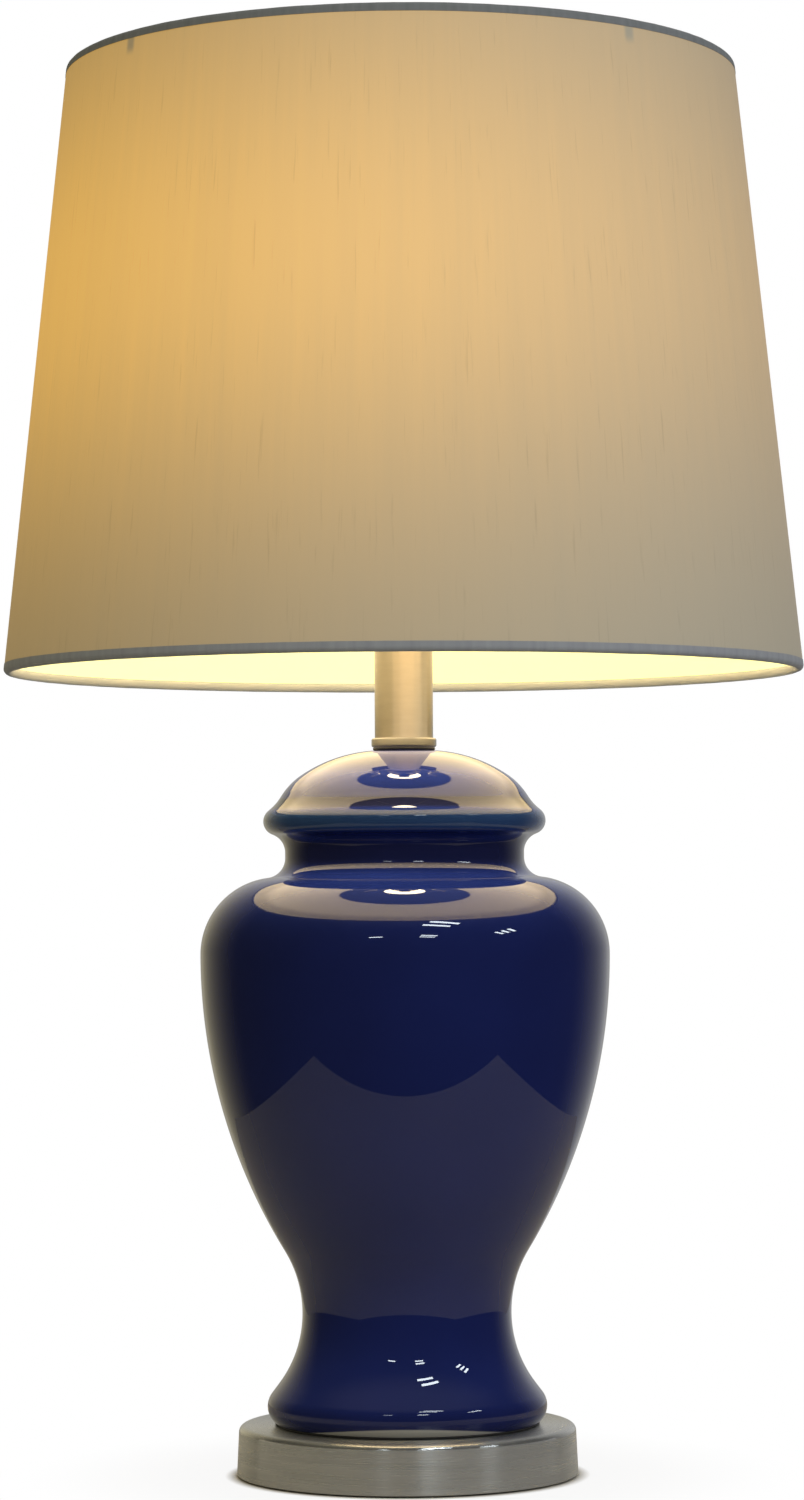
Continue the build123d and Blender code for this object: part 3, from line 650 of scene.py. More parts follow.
def makeBushing():
    form = dict(
        inner=70.5 * mm, seat=75.6 * mm, outer=77.4 * mm, body=4.6 * mm, flange=6 * mm, bore=3.2 * mm,
        rim=0.8 * mm, mouth=0.6 * mm, steps=64,
    )
    outline = Outline("cordBushing", form["bore"], form["inner"], 0)
    outline.to(form["body"], form["inner"]).to(form["body"], form["seat"]).to(form["flange"], form["seat"])
    outline.corner(form["flange"], form["outer"], form["rim"], 180, step=18)
    outline.corner(form["bore"], form["outer"], form["mouth"], 270, step=18)
    outline.to(form["bore"], form["inner"])
    bushing = outline.lathe(form["steps"])
    bushing.rotation_euler.x = -math.pi / 2
    bushing.location.z = baseForm["inletHeight"]
    applyPlace(bushing)
    settle(bushing, "lamp", "black_plastic", blackPlastic, "cord_bushing")


basePan = makeBase()
makeFelt()
makeBushing()
print("base done")


# jar

# an arc is its radius in mm, the heading that it ends with and its step
jarForm = dict(
    foot=58.7 * mm, footInner=52.5 * mm, heading=39.5, hole=8 * mm, wall=5 * mm, neck=2.5 * mm, steps=192,
    bead=(9.0, 127.0, 4), ramp=5.44 * mm,
    lower=((52.05, 90.0, 2.5), (53.0, 58.6, 2.5), (252.0, 90.0, 0.8), (34.3, 173.0, 3), (8.8, 90.0, 6)),
    upper=((8.5, 20.0, 6), (6.2, 142.0, 6), (23.0, 121.5, 4), (31.0, 146.0, 3), (64.0, 179.0, 2)),
)


def makeJar():
    form = jarForm
    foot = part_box("jar")[0].z
    outline = Outline("jarBody", form["footInner"], foot, 0)
    outline.to(form["foot"], foot)
    outline.heading = form["heading"]
    radius, heading, step = form["bead"]
    outline.arc(radius * mm, heading, step)
    slope = math.radians(heading)
    outline.to(outline.x + form["ramp"] * math.cos(slope), outline.z + form["ramp"] * math.sin(slope))
    for radius, heading, step in form["lower"]:
        outline.arc(radius * mm, heading, step)
    outline.to(outline.x, outline.z + form["neck"])
    for radius, heading, step in form["upper"]:
        outline.arc(radius * mm, heading, step)
    outline.to(form["hole"], outline.z)
    jar = outline.lathe(form["steps"])
    applyModifier(jar, "SOLIDIFY", thickness=form["wall"], offset=-1)
    return settle(jar, "lamp", "cobalt_glaze", glaze, "jar", smooth=30)


def makeGasket(name, node, hole, rounding, steps=144):
    low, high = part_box(node)
    outline = Outline(name, hole, low.z, 0)
    outline.to(high.x - rounding, low.z).arc(rounding, 180, step=20)
    outline.to(hole, high.z).to(hole, low.z)
    settle(outline.lathe(steps), "lamp", "gasket_rubber", gasketRubber, node)


jarBody = makeJar()
makeGasket("footGasket", "foot_gasket", jarForm["footInner"], 0.45 * mm)
makeGasket("neckGasket", "neck_gasket", rodHole, 0.75 * mm)
print("jar done")


# neck

neckForm = dict(
    tube=13 * mm, wall=1 * mm, tubeRim=0.3 * mm, ring=14.5 * mm, ringFloor=1.3 * mm, ringEdge=0.8 * mm,
    capFlange=1.5 * mm, capRim=0.4 * mm, slack=0.05 * mm, steps=128,
)


def makeNeck():
    form = neckForm
    bore = form["tube"] - form["wall"]
    low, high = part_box("neck_tube")
    outline = Outline("neckTube", bore, low.z, 0)
    outline.to(form["tube"], low.z).corner(form["tube"], high.z, form["tubeRim"], 180, step=30)
    outline.to(bore, high.z).to(bore, low.z)
    tube = settle(outline.lathe(form["steps"]), "lamp", "brushed_nickel", warmLitNeckNickel, "neck_tube")

    low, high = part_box("check_ring")
    seat, floor = form["tube"] + form["slack"], low.z + form["ringFloor"]
    outline = Outline("checkRing", rodHole, low.z, 0)
    outline.corner(form["ring"], low.z, form["ringEdge"], 90, step=15)
    outline.corner(form["ring"], high.z, form["ringEdge"], 180, step=15)
    outline.to(seat, high.z).to(seat, floor).to(rodHole, floor).to(rodHole, low.z)
    settle(outline.lathe(form["steps"]), "lamp", "brushed_nickel", warmLitRingNickel, "check_ring")

    low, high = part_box("neck_cap")
    plug, flange = bore - form["slack"], high.z - form["capFlange"]
    outline = Outline("neckCap", rodHole, low.z, 0)
    outline.to(plug, low.z).to(plug, flange).corner(high.x, flange, form["capRim"], 90, step=30)
    outline.corner(high.x, high.z, form["capRim"], 180, step=30)
    outline.to(rodHole, high.z).to(rodHole, low.z)
    settle(outline.lathe(form["steps"]), "lamp", "brushed_nickel", warmLitNeckNickel, "neck_cap")
    return tube


neckTube = makeNeck()
print("neck done")


# shade

def onSlant(out, up):
    # a point in the shade's wall: out from its outer face, up along its slope from the lower edge
    lean, rise = shadeLean / slopeLength, shadeForm["height"] / slopeLength
    return shadeForm["bottomRadius"] + out * rise - up * lean, shadeForm["bottom"] + out * lean + up * rise


def makeShadeCloth():
    form = shadeForm
    outline = Outline("shadeCloth", *onSlant(0, form["hem"]))
    outline.to(*onSlant(0, slopeLength - form["hem"]))
    selectAll()
    bpy.ops.mesh.subdivide(number_cuts=form["rows"] - 1)
    columns = form["columns"] + form["lapColumns"]
    turn = 2 * math.pi + form["lap"] / form["topRadius"]
    selectAll()
    bpy.ops.mesh.spin(steps=columns, angle=turn, center=(0, 0, 0), axis=(0, 0, 1), use_auto_merge=False)
    finishMesh()
    sheet = outline.obj
    perColumn = form["rows"] + 1
    middle = (form["bottomRadius"] + form["topRadius"]) / 2
    uvMap = sheet.data.uv_layers.new(name="clothMap")
    for loop in sheet.data.loops:
        vertex = sheet.data.vertices[loop.vertex_index]
        column = loop.vertex_index // perColumn
        uvMap.data[loop.index].uv = (column / columns * turn * middle, vertex.co.z)
    lapStart = form["columns"] - form["lapLead"]
    for vertex in sheet.data.vertices:
        # the end of the cloth laps over its start, a cloth's thickness further out
        over = (vertex.index // perColumn - lapStart) / form["lapRamp"]
        lift = form["cloth"] * form["lapLift"] * min(1, max(0, over))
        scale = 1 + lift / math.hypot(vertex.co.x, vertex.co.y)
        vertex.co.x, vertex.co.y = vertex.co.x * scale, vertex.co.y * scale
    sheet.rotation_euler.z = math.radians(form["seam"])
    applyPlace(sheet)
    applyModifier(sheet, "SOLIDIFY", thickness=form["cloth"], offset=-1)
    return settle(sheet, "shade", "shade_cloth", cloth, "shade_fabric")


def makeShadeLiner():
    form = shadeForm
    outer, inner = -form["cloth"], -form["cloth"] - form["liner"]
    bottom, top = form["hem"], slopeLength - form["hem"]
    outline = Outline("shadeLiner", *onSlant(inner, bottom))
    outline.to(*onSlant(outer, bottom)).to(*onSlant(outer, top))
    outline.to(*onSlant(inner, top)).to(*onSlant(inner, bottom))
    settle(outline.lathe(form["linerSteps"]), "shade", "shade_styrene", liner, "shade_liner")


hemForm = dict(radius=2.1 * mm, inset=1.9 * mm, pucker=0.22 * mm, puckerSize=9 * mm, steps=300)


def makeHem(name, node, level, up, finish):
    form = hemForm
    proud = form["radius"] - form["inset"]
    wallInner = -shadeForm["cloth"] - shadeForm["liner"]
    legEnd = level + up * (shadeForm["hem"] - form["radius"])
    outline = Outline(name, *onSlant(proud, legEnd))
    outline.to(*onSlant(proud, level))
    closing = math.degrees(math.acos((wallInner + form["inset"]) / form["radius"]))
    outline.arc(form["radius"], outline.heading - up * (360 - closing), step=12)
    outline.to(*onSlant(wallInner, legEnd)).to(*onSlant(proud, legEnd))
    hem = outline.lathe(form["steps"])
    texture = bpy.data.textures.new(name + "Pucker", "CLOUDS")
    texture.noise_scale = form["puckerSize"]
    applyModifier(hem, "DISPLACE", texture=texture, strength=form["pucker"], mid_level=0.5)
    return settle(hem, "shade", "shade_cloth", finish, node)


def makeSpider():
    form = spiderForm
    low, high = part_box("spider_hub")
    ringX = onSlant(-hemForm["inset"], slopeLength - hemForm["radius"])[0]
    armX = ringX - form["clear"] - form["wire"]
    rise = (low.z + high.z) / 2 - form["drop"]
    # down from the ring, then inward to the hub
    inward = math.degrees(math.atan2(rise, -armX)) % -360
    setback = form["bend"] * math.tan(math.radians(-90 - inward) / 2)
    outline = Outline("spiderArms", armX, form["rise"])
    outline.to(armX, form["drop"] + setback).arc(form["bend"], inward, step=9)
    endX = form["hubRadius"] - form["intoHub"]
    outline.to(endX, form["drop"] + rise * (armX - endX) / armX)
    arms = [outline.wire(form["wire"], roundness=4)]
    for i in range(1, form["arms"]):
        copy = arms[0].copy()
        copy.data = arms[0].data.copy()
        bpy.context.collection.objects.link(copy)
        arms.append(copy)
    freshStart()
    for i, arm in enumerate(arms):
        arm.rotation_euler.z = math.radians(form["first"] + 360 / form["arms"] * i)
        arm.select_set(True)
    bpy.context.view_layer.objects.active = arms[0]
    bpy.ops.object.transform_apply(rotation=True)
    bpy.ops.object.join()
    settle(arms[0], "shade", "shade_wire", whiteEnamel, "spider_arms")

    hole, radius, edge = form["hubHole"], form["hubRadius"], form["hubEdge"]
    outline = Outline("spiderHub", hole, low.z + edge, -90).arc(edge, 0, step=30)
    outline.corner(radius, low.z, edge, 90, step=30).corner(radius, high.z, edge, 180, step=30)
    outline.corner(hole, high.z, edge, 270, step=30).to(hole, low.z + edge)
    settle(outline.lathe(steps=96), "shade", "shade_wire", whiteEnamel, "spider_hub")


shadeSheet = makeShadeCloth()
makeShadeLiner()
bottomHem = makeHem("bottomHem", "shade_bottom_hem", hemForm["radius"], 1, lowHemCloth)
topHem = makeHem("topHem", "shade_top_hem", slopeLength - hemForm["radius"], -1, shadedTopHemCloth)
makeSpider()
print("shade done")


# harp

harpForm = dict(
    wire=1.6 * mm, leg=30.2 * mm, legBottom=394 * mm, legTop=432 * mm, half=56 * mm, wideLow=470 * mm,
    wideHigh=540 * mm, top=595 * mm, topHalf=18 * mm, bends=(54 * mm, 66 * mm, 88 * mm, 25 * mm),
)


def makeHarp():
    form = harpForm
    right = [
        (form["leg"], form["legTop"]), (form["half"], form["wideLow"]), (form["half"], form["wideHigh"]),
        (form["topHalf"], form["top"]),
    ]
    corners = right + [(-x, z) for x, z in reversed(right)]
    bends = form["bends"] + tuple(reversed(form["bends"]))
    end = (-form["leg"], form["legBottom"])
    outline = Outline("harpWire", form["leg"], form["legBottom"])
    for corner, bend, following in zip(corners, bends, corners[1:] + [end]):
        # straight up to where the bend starts, then round to the next leg's heading
        dx, dz = corner[0] - outline.x, corner[1] - outline.z
        entering = math.degrees(math.atan2(dz, dx))
        leaving = math.degrees(math.atan2(following[1] - corner[1], following[0] - corner[0]))
        turn = (leaving - entering + 180) % 360 - 180
        back = bend * math.tan(abs(math.radians(turn)) / 2)
        share = 1 - back / math.hypot(dx, dz)
        outline.to(outline.x + dx * share, outline.z + dz * share)
        outline.heading = entering
        outline.arc(bend, entering + turn, step=4)
    outline.to(*end)
    wire = outline.wire(form["wire"], roundness=5)
    return settle(wire, "harp", "nickel_plate", brightNickel, "harp_wire", smooth=60)


def makeStud():
    form = dict(
        collar=5.5 * mm, collarHeight=7 * mm, collarEdge=1.2 * mm, stud=3.15 * mm, pitch=0.9 * mm,
        depth=0.35 * mm, steps=72,
    )
    low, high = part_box("harp_stud")
    shoulder, root = low.z + form["collarHeight"], form["stud"] - form["depth"]
    outline = Outline("harpStud", 0, low.z, 0)
    outline.corner(form["collar"], low.z, form["collarEdge"], 90, step=18)
    outline.corner(form["collar"], shoulder, form["collarEdge"] / 2, 180, step=18).to(root, shoulder)
    for i in range(int((high.z - shoulder) / form["pitch"])):
        # rolled thread, one crest and one root a turn
        outline.to(form["stud"], shoulder + (i + 0.5) * form["pitch"])
        outline.to(root, shoulder + (i + 1) * form["pitch"])
    outline.to(root - form["depth"], high.z).to(0, high.z)
    return settle(outline.lathe(form["steps"]), "harp", "nickel_plate", brightNickel, "harp_stud")


def makeSleeves():
    # the waist goes by shares of the height, each with how far the side is drawn in there
    form = dict(
        inner=3.75 * mm, outer=4.4 * mm, bead=0.3 * mm, steps=64,
        waist=((0.12, 0), (0.18, 0.25 * mm), (0.82, 0.25 * mm), (0.88, 0)),
    )
    for side in ("left", "right"):
        node = "harp_sleeve_" + side
        low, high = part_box(node)
        outline = Outline(side + "Sleeve", form["inner"], low.z, 0)
        outline.corner(form["outer"], low.z, form["bead"], 90, step=30)
        for share, inward in form["waist"]:
            outline.to(form["outer"] - inward, low.z + share * (high.z - low.z))
        outline.corner(form["outer"], high.z, form["bead"], 180, step=30)
        outline.to(form["inner"], high.z).to(form["inner"], low.z)
        sleeve = outline.lathe(form["steps"])
        sleeve.location.x = (low.x + high.x) / 2
        applyPlace(sleeve)
        settle(sleeve, side + "_sleeve", "nickel_plate", brightNickel, node)


def makeFinial():
    form = dict(
        bore=3.2 * mm, deep=12.5 * mm, foot=6.5 * mm, footHeight=1.2 * mm, footEdge=0.5 * mm,
        footTop=1.0 * mm, neck=4.4 * mm, fillet=0.9 * mm, ball=7.4 * mm, steps=96,
    )
    low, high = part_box("finial")
    outline = Outline("finialKnob", form["bore"], low.z, 0)
    outline.corner(form["foot"], low.z, form["footEdge"], 90, step=30)
    outline.to(form["foot"], low.z + form["footHeight"]).arc(form["footTop"], 180, step=15)
    outline.to(form["neck"] + form["fillet"], outline.z).arc(form["fillet"], 90, step=15)
    drop = math.sqrt(form["ball"] ** 2 - form["neck"] ** 2)
    outline.to(form["neck"], high.z - form["ball"] - drop)
    outline.heading = math.degrees(math.atan2(form["neck"], drop))
    outline.arc(form["ball"], 180, step=5).to(0, high.z)
    boreTop = low.z + form["deep"]
    outline.to(0, boreTop).to(form["bore"], boreTop).to(form["bore"], low.z)
    return settle(outline.lathe(form["steps"]), "finial", "nickel_plate", brightNickel, "finial")


harpWire, harpStud = makeHarp(), makeStud()
makeSleeves()
finialKnob = makeFinial()
print("harp done")


# socket, switch and bulb

def makeSocketShell():
    form = dict(
        radius=16 * mm, sheet=0.6 * mm, edge=0.6 * mm, lip=14.6 * mm, grooves=(0.30, 0.72), groove=0.5 * mm,
        steps=96,
    )
    low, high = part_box("socket_shell")
    groove, radius = form["groove"], form["radius"]
    outline = Outline("socketShell", radius, low.z)
    for share in form["grooves"]:
        # a groove rolled into the shell
        outline.to(radius, low.z + share * (high.z - low.z))
        outline.to(radius - groove, outline.z + groove).to(radius - groove, outline.z + 2 * groove)
        outline.to(radius, outline.z + groove)
    outline.corner(radius, high.z, form["edge"], 180, step=18).to(form["lip"], high.z)
    shell = outline.lathe(form["steps"])
    applyModifier(shell, "SOLIDIFY", thickness=form["sheet"], offset=-1)
    settle(shell, "lamp", "nickel_plate", brightNickel, "socket_shell")


def makeSocketCap():
    form = dict(
        bore=5.05 * mm, hub=7.5 * mm, hubStart=384 * mm, hubFillet=1.2 * mm, hubTop=385.7 * mm,
        slopeEnd=(15.5 * mm, 392 * mm), skirtEdge=1.6 * mm, skirtInner=393.5 * mm, radius=16.9 * mm,
        sheet=0.7 * mm, steps=96,
    )
    low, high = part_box("socket_cap")
    inner = form["radius"] - form["sheet"]
    outline = Outline("socketCap", form["bore"], low.z, 0)
    outline.to(form["hub"], low.z).to(form["hub"], form["hubStart"]).arc(form["hubFillet"], 45, step=15)
    outline.to(*form["slopeEnd"]).arc(form["skirtEdge"], 90, step=15).to(form["radius"], high.z)
    outline.to(inner, high.z).to(inner, form["skirtInner"])
    outline.to(form["hub"] - form["sheet"], form["hubTop"])
    outline.to(form["bore"], form["hubTop"]).to(form["bore"], low.z)
    settle(outline.lathe(form["steps"]), "lamp", "nickel_plate", brightNickel, "socket_cap")


def makeSaddle():
    form = dict(
        sheet=1.5 * mm, bend=3 * mm, width=12 * mm, tongue=5 * mm, tongueFoot=392 * mm, shoulder=0.1 * mm,
        edge=0.25 * mm,
    )
    low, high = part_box("harp_saddle")
    outline = Outline("harpSaddle", low.x, high.z, -90)
    outline.corner(low.x, low.z, form["bend"], 0, step=15)
    outline.corner(high.x, low.z, form["bend"], 90, step=15).to(high.x, high.z)
    saddle = outline.obj
    # split the uprights where the tongues start, then give the strip its width
    selectAll()
    bpy.ops.mesh.bisect(plane_co=(0, 0, form["tongueFoot"]), plane_no=(0, 0, 1))
    selectAll()
    bpy.ops.transform.translate(value=(0, -form["width"] / 2, 0))
    bpy.ops.mesh.extrude_region_move(TRANSFORM_OT_translate={"value": (0, form["width"], 0)})
    objectMode()
    for vertex in saddle.data.vertices:
        if vertex.co.z > form["tongueFoot"] + form["shoulder"]:
            vertex.co.y *= form["tongue"] / form["width"]
    editMode()
    finishMesh()
    lowest = min(saddle.data.polygons, key=lambda polygon: polygon.center.z)
    side = -1 if lowest.normal.z < 0 else 1  # an open strip may face either way
    applyModifier(saddle, "SOLIDIFY", thickness=form["sheet"], offset=side)
    applyModifier(saddle, "BEVEL", width=form["edge"], segments=2)
    settle(saddle, "lamp", "nickel_plate", brightNickel, "harp_saddle")


def makeKnob():
    form = dict(
        flutes=14, perFlute=4, radius=6.2 * mm, depth=0.7 * mm, edge=0.25 * mm, edgeAngle=50, taper=0.94,
        rim=1.2 * mm, dish=0.5 * mm, facing=-0.9,
    )
    spokes = form["flutes"] * form["perFlute"]
    low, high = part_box("switch_knob")
    middle = (low + high) / 2
    freshStart()
    bpy.ops.mesh.primitive_cylinder_add(
        vertices=spokes, radius=form["radius"], depth=high.y - low.y, location=middle,
        rotation=(math.pi / 2, 0, 0))
    knob = bpy.context.object
    knob.name = knob.data.name = "switchKnob"
    applyPlace(knob)
    for vertex in knob.data.vertices:
        # two edges of every four are pressed in to make a flute, and the front is a little narrower
        dx, dz = vertex.co.x - middle.x, vertex.co.z - middle.z
        spoke = round(math.atan2(dz, dx) / (2 * math.pi) * spokes)
        share = 1 - form["depth"] / form["radius"] * (spoke % form["perFlute"] < 2)
        share *= form["taper"] if vertex.co.y < middle.y else 1
        vertex.co.x, vertex.co.z = middle.x + dx * share, middle.z + dz * share
    editMode()
    bpy.ops.mesh.select_all(action="DESELECT")
    objectMode()
    for polygon in knob.data.polygons:
        polygon.select = polygon.normal.y < form["facing"]
    editMode()
    bpy.ops.mesh.inset(thickness=form["rim"])
    bpy.ops.transform.translate(value=(0, form["dish"], 0))
    objectMode()
    sharp = math.radians(form["edgeAngle"])
    applyModifier(knob, "BEVEL", width=form["edge"], segments=2, limit_method="ANGLE", angle_limit=sharp)
    settle(knob, "switch", "black_plastic", blackPlastic, "switch_knob")


def makeBulb():
    form = dict(radius=30 * mm, neck=13.4 * mm, glass=1 * mm, meet=125.0, bow=0.42, neckSteps=16, steps=96)
    low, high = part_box("bulb_globe")
    outline = Outline("bulbGlobe", 0, high.z, 0)
    outline.arc(form["radius"], -form["meet"], step=5)
    slope, reach = math.radians(form["meet"]), (outline.z - low.z) * form["bow"]
    handles = (
        (outline.x, outline.z),
        (outline.x + reach * math.cos(slope), outline.z - reach * math.sin(slope)),
        (form["neck"], low.z + reach),
        (form["neck"], low.z),
    )
    for i in range(1, form["neckSteps"] + 1):
        # the neck flows from the head's slope to straight down
        done = i / form["neckSteps"]
        left = 1 - done
        weights = (left ** 3, 3 * done * left ** 2, 3 * done ** 2 * left, done ** 3)
        outline.to(*(sum(w * point[k] for w, point in zip(weights, handles)) for k in (0, 1)))
    globe = outline.lathe(form["steps"])
    applyModifier(globe, "SOLIDIFY", thickness=form["glass"], offset=-1)
    settle(globe, "bulb", "bulb_glass", litGlass, "bulb_globe", smooth=60)


makeSocketShell()
makeSocketCap()
makeSaddle()
makeKnob()
makeBulb()
print("socket and bulb done")

# the pieces inside keep their own shape and get their finish here
inside = {
    castIron: ("base_weight",),
    zincSteel: ("base_washer", "base_nut", "threaded_rod"),
    pressedCard: ("socket_liner",),
    blackPlastic: ("socket_body", "bulb_insulator"),
    plainBrass: ("socket_screw_shell", "centre_contact", "terminal_screws", "switch_shaft", "bulb_tip"),
    rolledAluminium: ("bulb_screw_base",),
    whiteEnamel: ("shade_top_ring", "shade_bottom_ring"),
}
for material, nodes in inside.items():
    for node in nodes:
        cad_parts[node].data.materials.clear()
        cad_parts[node].data.materials.append(material)


# studio

floorForm = dict(
    size=(0.98, 0.90), middle=(0, 0.07), color=(0.62, 0.575, 0.50, 1),
    contact=75.5 * mm, near=81 * mm, nearWhite=0.92, far=180 * mm,
)


def makeFloor():
    form = floorForm
    freshStart()
    bpy.ops.mesh.primitive_plane_add(size=1)
    floor = bpy.context.object
    floor.name = "floor"
    floor.scale = (*form["size"], 1)
    floor.location = (*form["middle"], 0)
    bpy.ops.object.transform_apply(location=True, scale=True)
    material, tree, shader = newMaterial("paleFloor", Base_Color=form["color"], Roughness=0.7)
    seen = addNode(tree, "ShaderNodeLightPath").outputs["Is Camera Ray"]
    away = place(tree)["away"]
    # the lamp's own shadow shows close to the base, and the floor turns white further out
    white = fit(tree, away, form["near"], form["far"], form["nearWhite"], 1.0, smooth=True)
    white = times(tree, white, fit(tree, away, form["contact"], form["near"]))
    glow = addNode(tree, "ShaderNodeEmission", None, {"Color": (1, 1, 1, 1), "Strength": 1.0}).outputs[0]
    above = addNode(
        tree, "ShaderNodeMixShader", None, {0: times(tree, seen, white), 1: shader.outputs[0], 2: glow})
    # from below it doesn't hide the lamp's underside
    under = addNode(tree, "ShaderNodeNewGeometry").outputs["Backfacing"]
    clear = addNode(tree, "ShaderNodeBsdfTransparent").outputs[0]
    whole = addNode(tree, "ShaderNodeMixShader", None, {0: under, 1: above.outputs[0], 2: clear})
    join(tree, tree.nodes["Material Output"], {"Surface": whole.outputs[0]})
    floor.data.materials.append(material)


# levels of the room, and the span of directions over which each one fades in
roomForm = dict(
    room=0.045, wall=0.56, wallSpan=(0.3, 0.95), wallFade=1.6, straight=0.7, straightSpan=(0.95, 0.985),
    above=1.2, aboveSpan=(0.03, 0.16), ceiling=0.18, ceilingSpan=(0.6, 0.9),
    ambient=0.35, below=0.4, ambientSpan=(-0.3, 0.2),
    warm=(1.0, 0.90, 0.61, 1), cool=(0.98, 0.98, 0.95, 1), tintSpan=(-0.4, 0.15),
)


def makeWorld():
    # white behind the lamp for the camera; glaze and metal mirror a dim room with a paler back wall
    form = roomForm
    world = bpy.data.worlds.new("studio")
    bpy.context.scene.world = world
    world.use_nodes = True
    tree = world.node_tree
    tree.nodes.clear()
    path = addNode(tree, "ShaderNodeLightPath").outputs
    x, y, z = split(tree, addNode(tree, "ShaderNodeTexCoord").outputs["Generated"])
    behind = times(
        tree, calc(tree, "POWER", fit(tree, y, *form["wallSpan"]), form["wallFade"]),
        fit(tree, y, *form["straightSpan"], 1.0, form["straight"]),
        fit(tree, z, *form["aboveSpan"], 1.0, form["above"]),
    )
    wall = between(tree, behind, form["room"], form["room"] + form["wall"])
    wall = calc(tree, "ADD", wall, fit(tree, z, *form["ceilingSpan"], 0.0, form["ceiling"], smooth=True))
    ambient = form["ambient"]
    soft = fit(tree, z, *form["ambientSpan"], form["below"] * ambient, ambient, smooth=True)
    shows = calc(tree, "MAXIMUM", path["Is Glossy Ray"], path["Is Transmission Ray"])
    tint = blendColors(tree, fit(tree, x, *form["tintSpan"]), form["warm"], form["cool"])
    color = atLevel(tree, tint, between(tree, shows, soft, wall))
    color = blendColors(tree, path["Is Camera Ray"], color, (1, 1, 1, 1))
    sky = addNode(tree, "ShaderNodeBackground", None, {"Color": color, "Strength": 1.0})
    addNode(tree, "ShaderNodeOutputWorld", None, {"Surface": sky.outputs[0]})


def makeLight(
        name, size, power, spot, aim=(0, 0, 0.42), color=(1, 1, 1), mirrored=False, shadow=True,
        only=(), without=()):
    freshStart()
    bpy.ops.object.light_add(type="AREA", location=spot)
    lamp = bpy.context.object
    lamp.name = name
    lamp.data.shape, lamp.data.size, lamp.data.size_y = "RECTANGLE", size[0], size[1]
    lamp.data.energy, lamp.data.color, lamp.data.use_shadow = power, color, shadow
    toward = [a - b for a, b in zip(aim, spot)]
    flat = math.hypot(toward[0], toward[1])
    lamp.rotation_euler = (math.atan2(flat, -toward[2]), 0, math.atan2(-toward[0], toward[1]))
    lamp.visible_glossy = mirrored
    if only or without:
        answering = bpy.data.collections.new(name + "Answering")
        for piece in (*only, *without):
            answering.objects.link(piece)
        for link in answering.collection_objects:
            link.light_linking.link_state = "INCLUDE" if only else "EXCLUDE"
        lamp.light_linking.receiver_collection = answering


softboxes = dict(
    keySoftbox=dict(size=(1.4, 1.2), power=9.7, spot=(1.7, -1.65, 0.45)),
    fillSoftbox=dict(size=(1.4, 1.2), power=2.9, spot=(-1.6, -1.5, 0.45), color=(1.0, 0.93, 0.62)),
    backSoftbox=dict(size=(1.6, 1.2), power=9.0, spot=(0.5, 2.3, 0.5), without=[basePan]),
    # what the bulb adds on the jar, from inside the shade
    bulbPool=dict(
        size=(0.12, 0.12), power=1.1, spot=(0, 0, 0.43), aim=(0, 0, 0), color=(1.0, 0.98, 0.62),
        shadow=False, only=[jarBody],
    ),
)
# ceiling fittings of one to three tubes, which show as short white dashes in the glaze:
# place of the first tube, its size, step to the next, number of tubes
tubes = dict(
    left=((-0.75, -2.45, 1.5), (0.36, 0.10), (0, 0), 1),
    middle=((0.57, -2.25, 1.5), (0.40, 0.10), (0.0, -0.22), 2),
    near=((0.50, -1.30, 1.5), (0.46, 0.09), (0.07, 0.22), 2),
    right=((2.05, -0.85, 1.5), (0.34, 0.10), (0, -0.22), 3),
)
tubeGlare, tubeColor, tubeOnBase = 22.0, (0.86, 0.95, 1.0), 0.6


def makeTubes():
    for name, (spot, size, step, count) in tubes.items():
        for i in range(count):
            label = name + "Tube" + str(i)
            power = tubeGlare * math.pi * size[0] * size[1]
            hung = (spot[0] + i * step[0], spot[1] + i * step[1], spot[2])
            tube = dict(size=size, spot=hung, aim=(*hung[:2], 0), color=tubeColor, mirrored=True)
            makeLight(label, power=power, without=[basePan], **tube)
            makeLight(label + "OnBase", power=power * tubeOnBase, only=[basePan], **tube)


plainBand = dict(
    aim=0.0, lift=0.0, ends=1.0, color=(1.0, 1.0, 1.0), leftTint=(1.0, 1.0, 1.0), shadow=True,
)
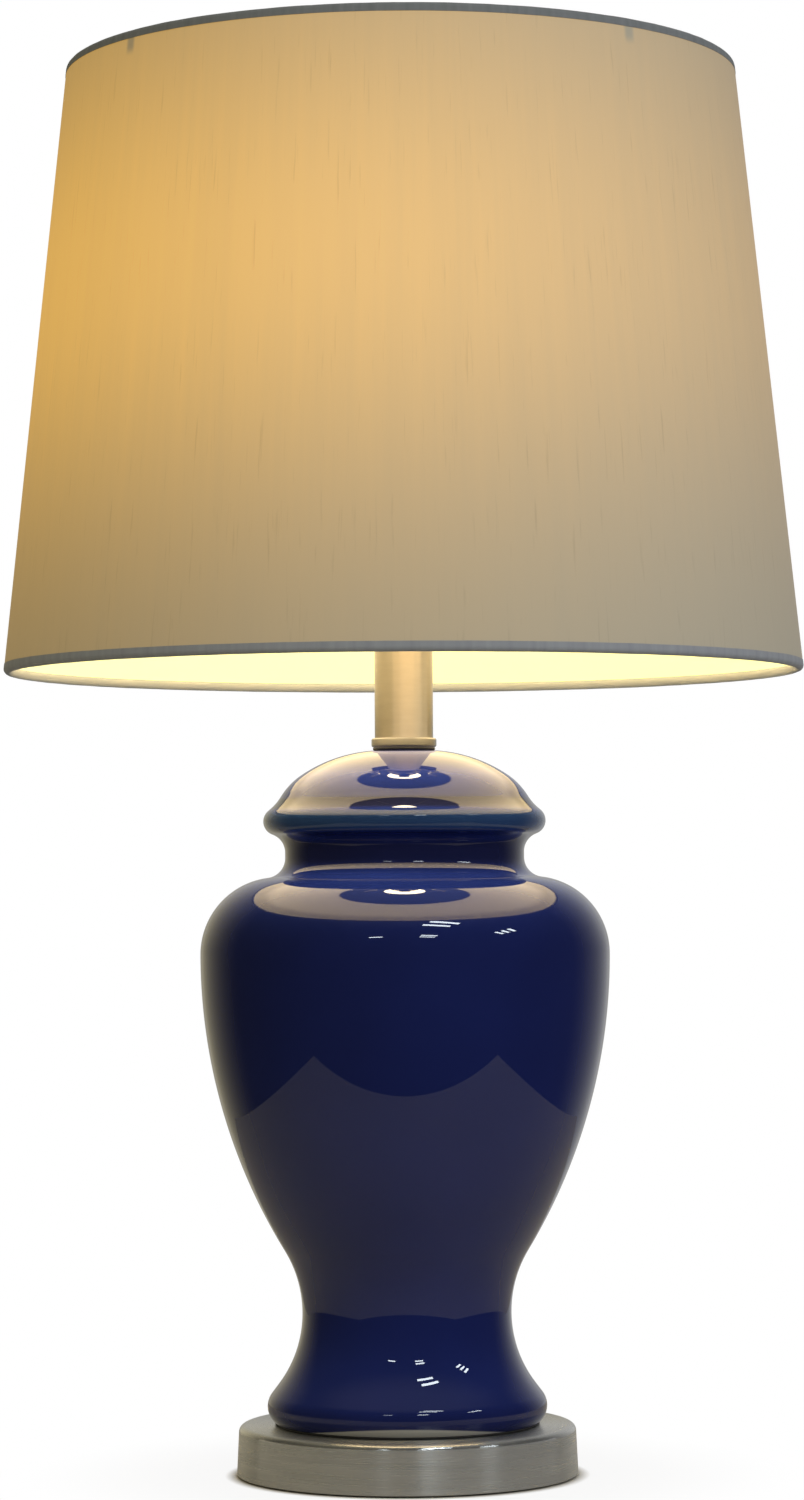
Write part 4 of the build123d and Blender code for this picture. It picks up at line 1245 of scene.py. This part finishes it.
# arcs of panels round the lamp, with angles from the front; lift and leftTint change those towards the left
bands = dict(
    base=dict(
        count=8, first=-105, step=30, distance=2.2, height=0.3, tall=0.5, level=0.38,
        lift=0.45, leftTint=(1.0, 0.90, 0.66),
    ),
    neck=dict(
        count=5, first=-30, step=30, distance=0.8, height=0.35, tall=0.4, aim=0.35, level=2.5, ends=0.5,
    ),
    neckGlow=dict(
        count=4, first=-30, step=30, distance=0.08, height=0.42, tall=0.05, aim=0.33, level=5.8, ends=0.6,
        color=(1.0, 0.62, 0.28), shadow=False,
    ),
    top=dict(count=6, first=-150, step=60, distance=1.3, height=1.3, tall=0.5, aim=0.6, level=0.55),
)


def makeBand(name, pieces):
    # only these pieces answer to the panels
    band = {**plainBand, **bands[name]}
    wide = 2 * band["distance"] * math.tan(math.radians(band["step"] / 2))
    for i in range(band["count"]):
        angle = math.radians(band["first"] + i * band["step"])
        spot = (band["distance"] * math.sin(angle), -band["distance"] * math.cos(angle), band["height"])
        left = max(0, -math.sin(angle))
        share = band["ends"] if i in (0, band["count"] - 1) else 1
        power = band["level"] * share * (1 + band["lift"] * left) * math.pi * wide * band["tall"]
        color = tuple(c * (1 - left * (1 - t)) for c, t in zip(band["color"], band["leftTint"]))
        makeLight(
            name + "Band" + str(i), (wide, band["tall"]), power, spot, (0, 0, band["aim"]), color,
            mirrored=True, shadow=band["shadow"], only=pieces,
        )


def makeCamera():
    view = dict(
        lens=101.6, sensor=36.0, distance=1887 * mm, height=257.7 * mm, aside=-0.9 * mm, pitch=1.93, roll=0.3,
    )
    freshStart()
    bpy.ops.object.camera_add(location=(view["aside"], -view["distance"], view["height"]))
    camera = bpy.context.object
    camera.data.lens, camera.data.sensor_width = view["lens"], view["sensor"]
    camera.rotation_mode = "ZYX"
    camera.rotation_euler = (math.radians(90 + view["pitch"]), 0, math.radians(-view["roll"]))
    bpy.context.scene.camera = camera


makeFloor()
makeWorld()
for name, form in softboxes.items():
    makeLight(name, **form)
makeTubes()
makeBand("base", [basePan])
makeBand("neck", [neckTube])
makeBand("neckGlow", [neckTube])
makeBand("top", [harpWire, harpStud, finialKnob])
makeCamera()
bpy.context.scene.view_settings.view_transform = "Standard"
print("studio done")
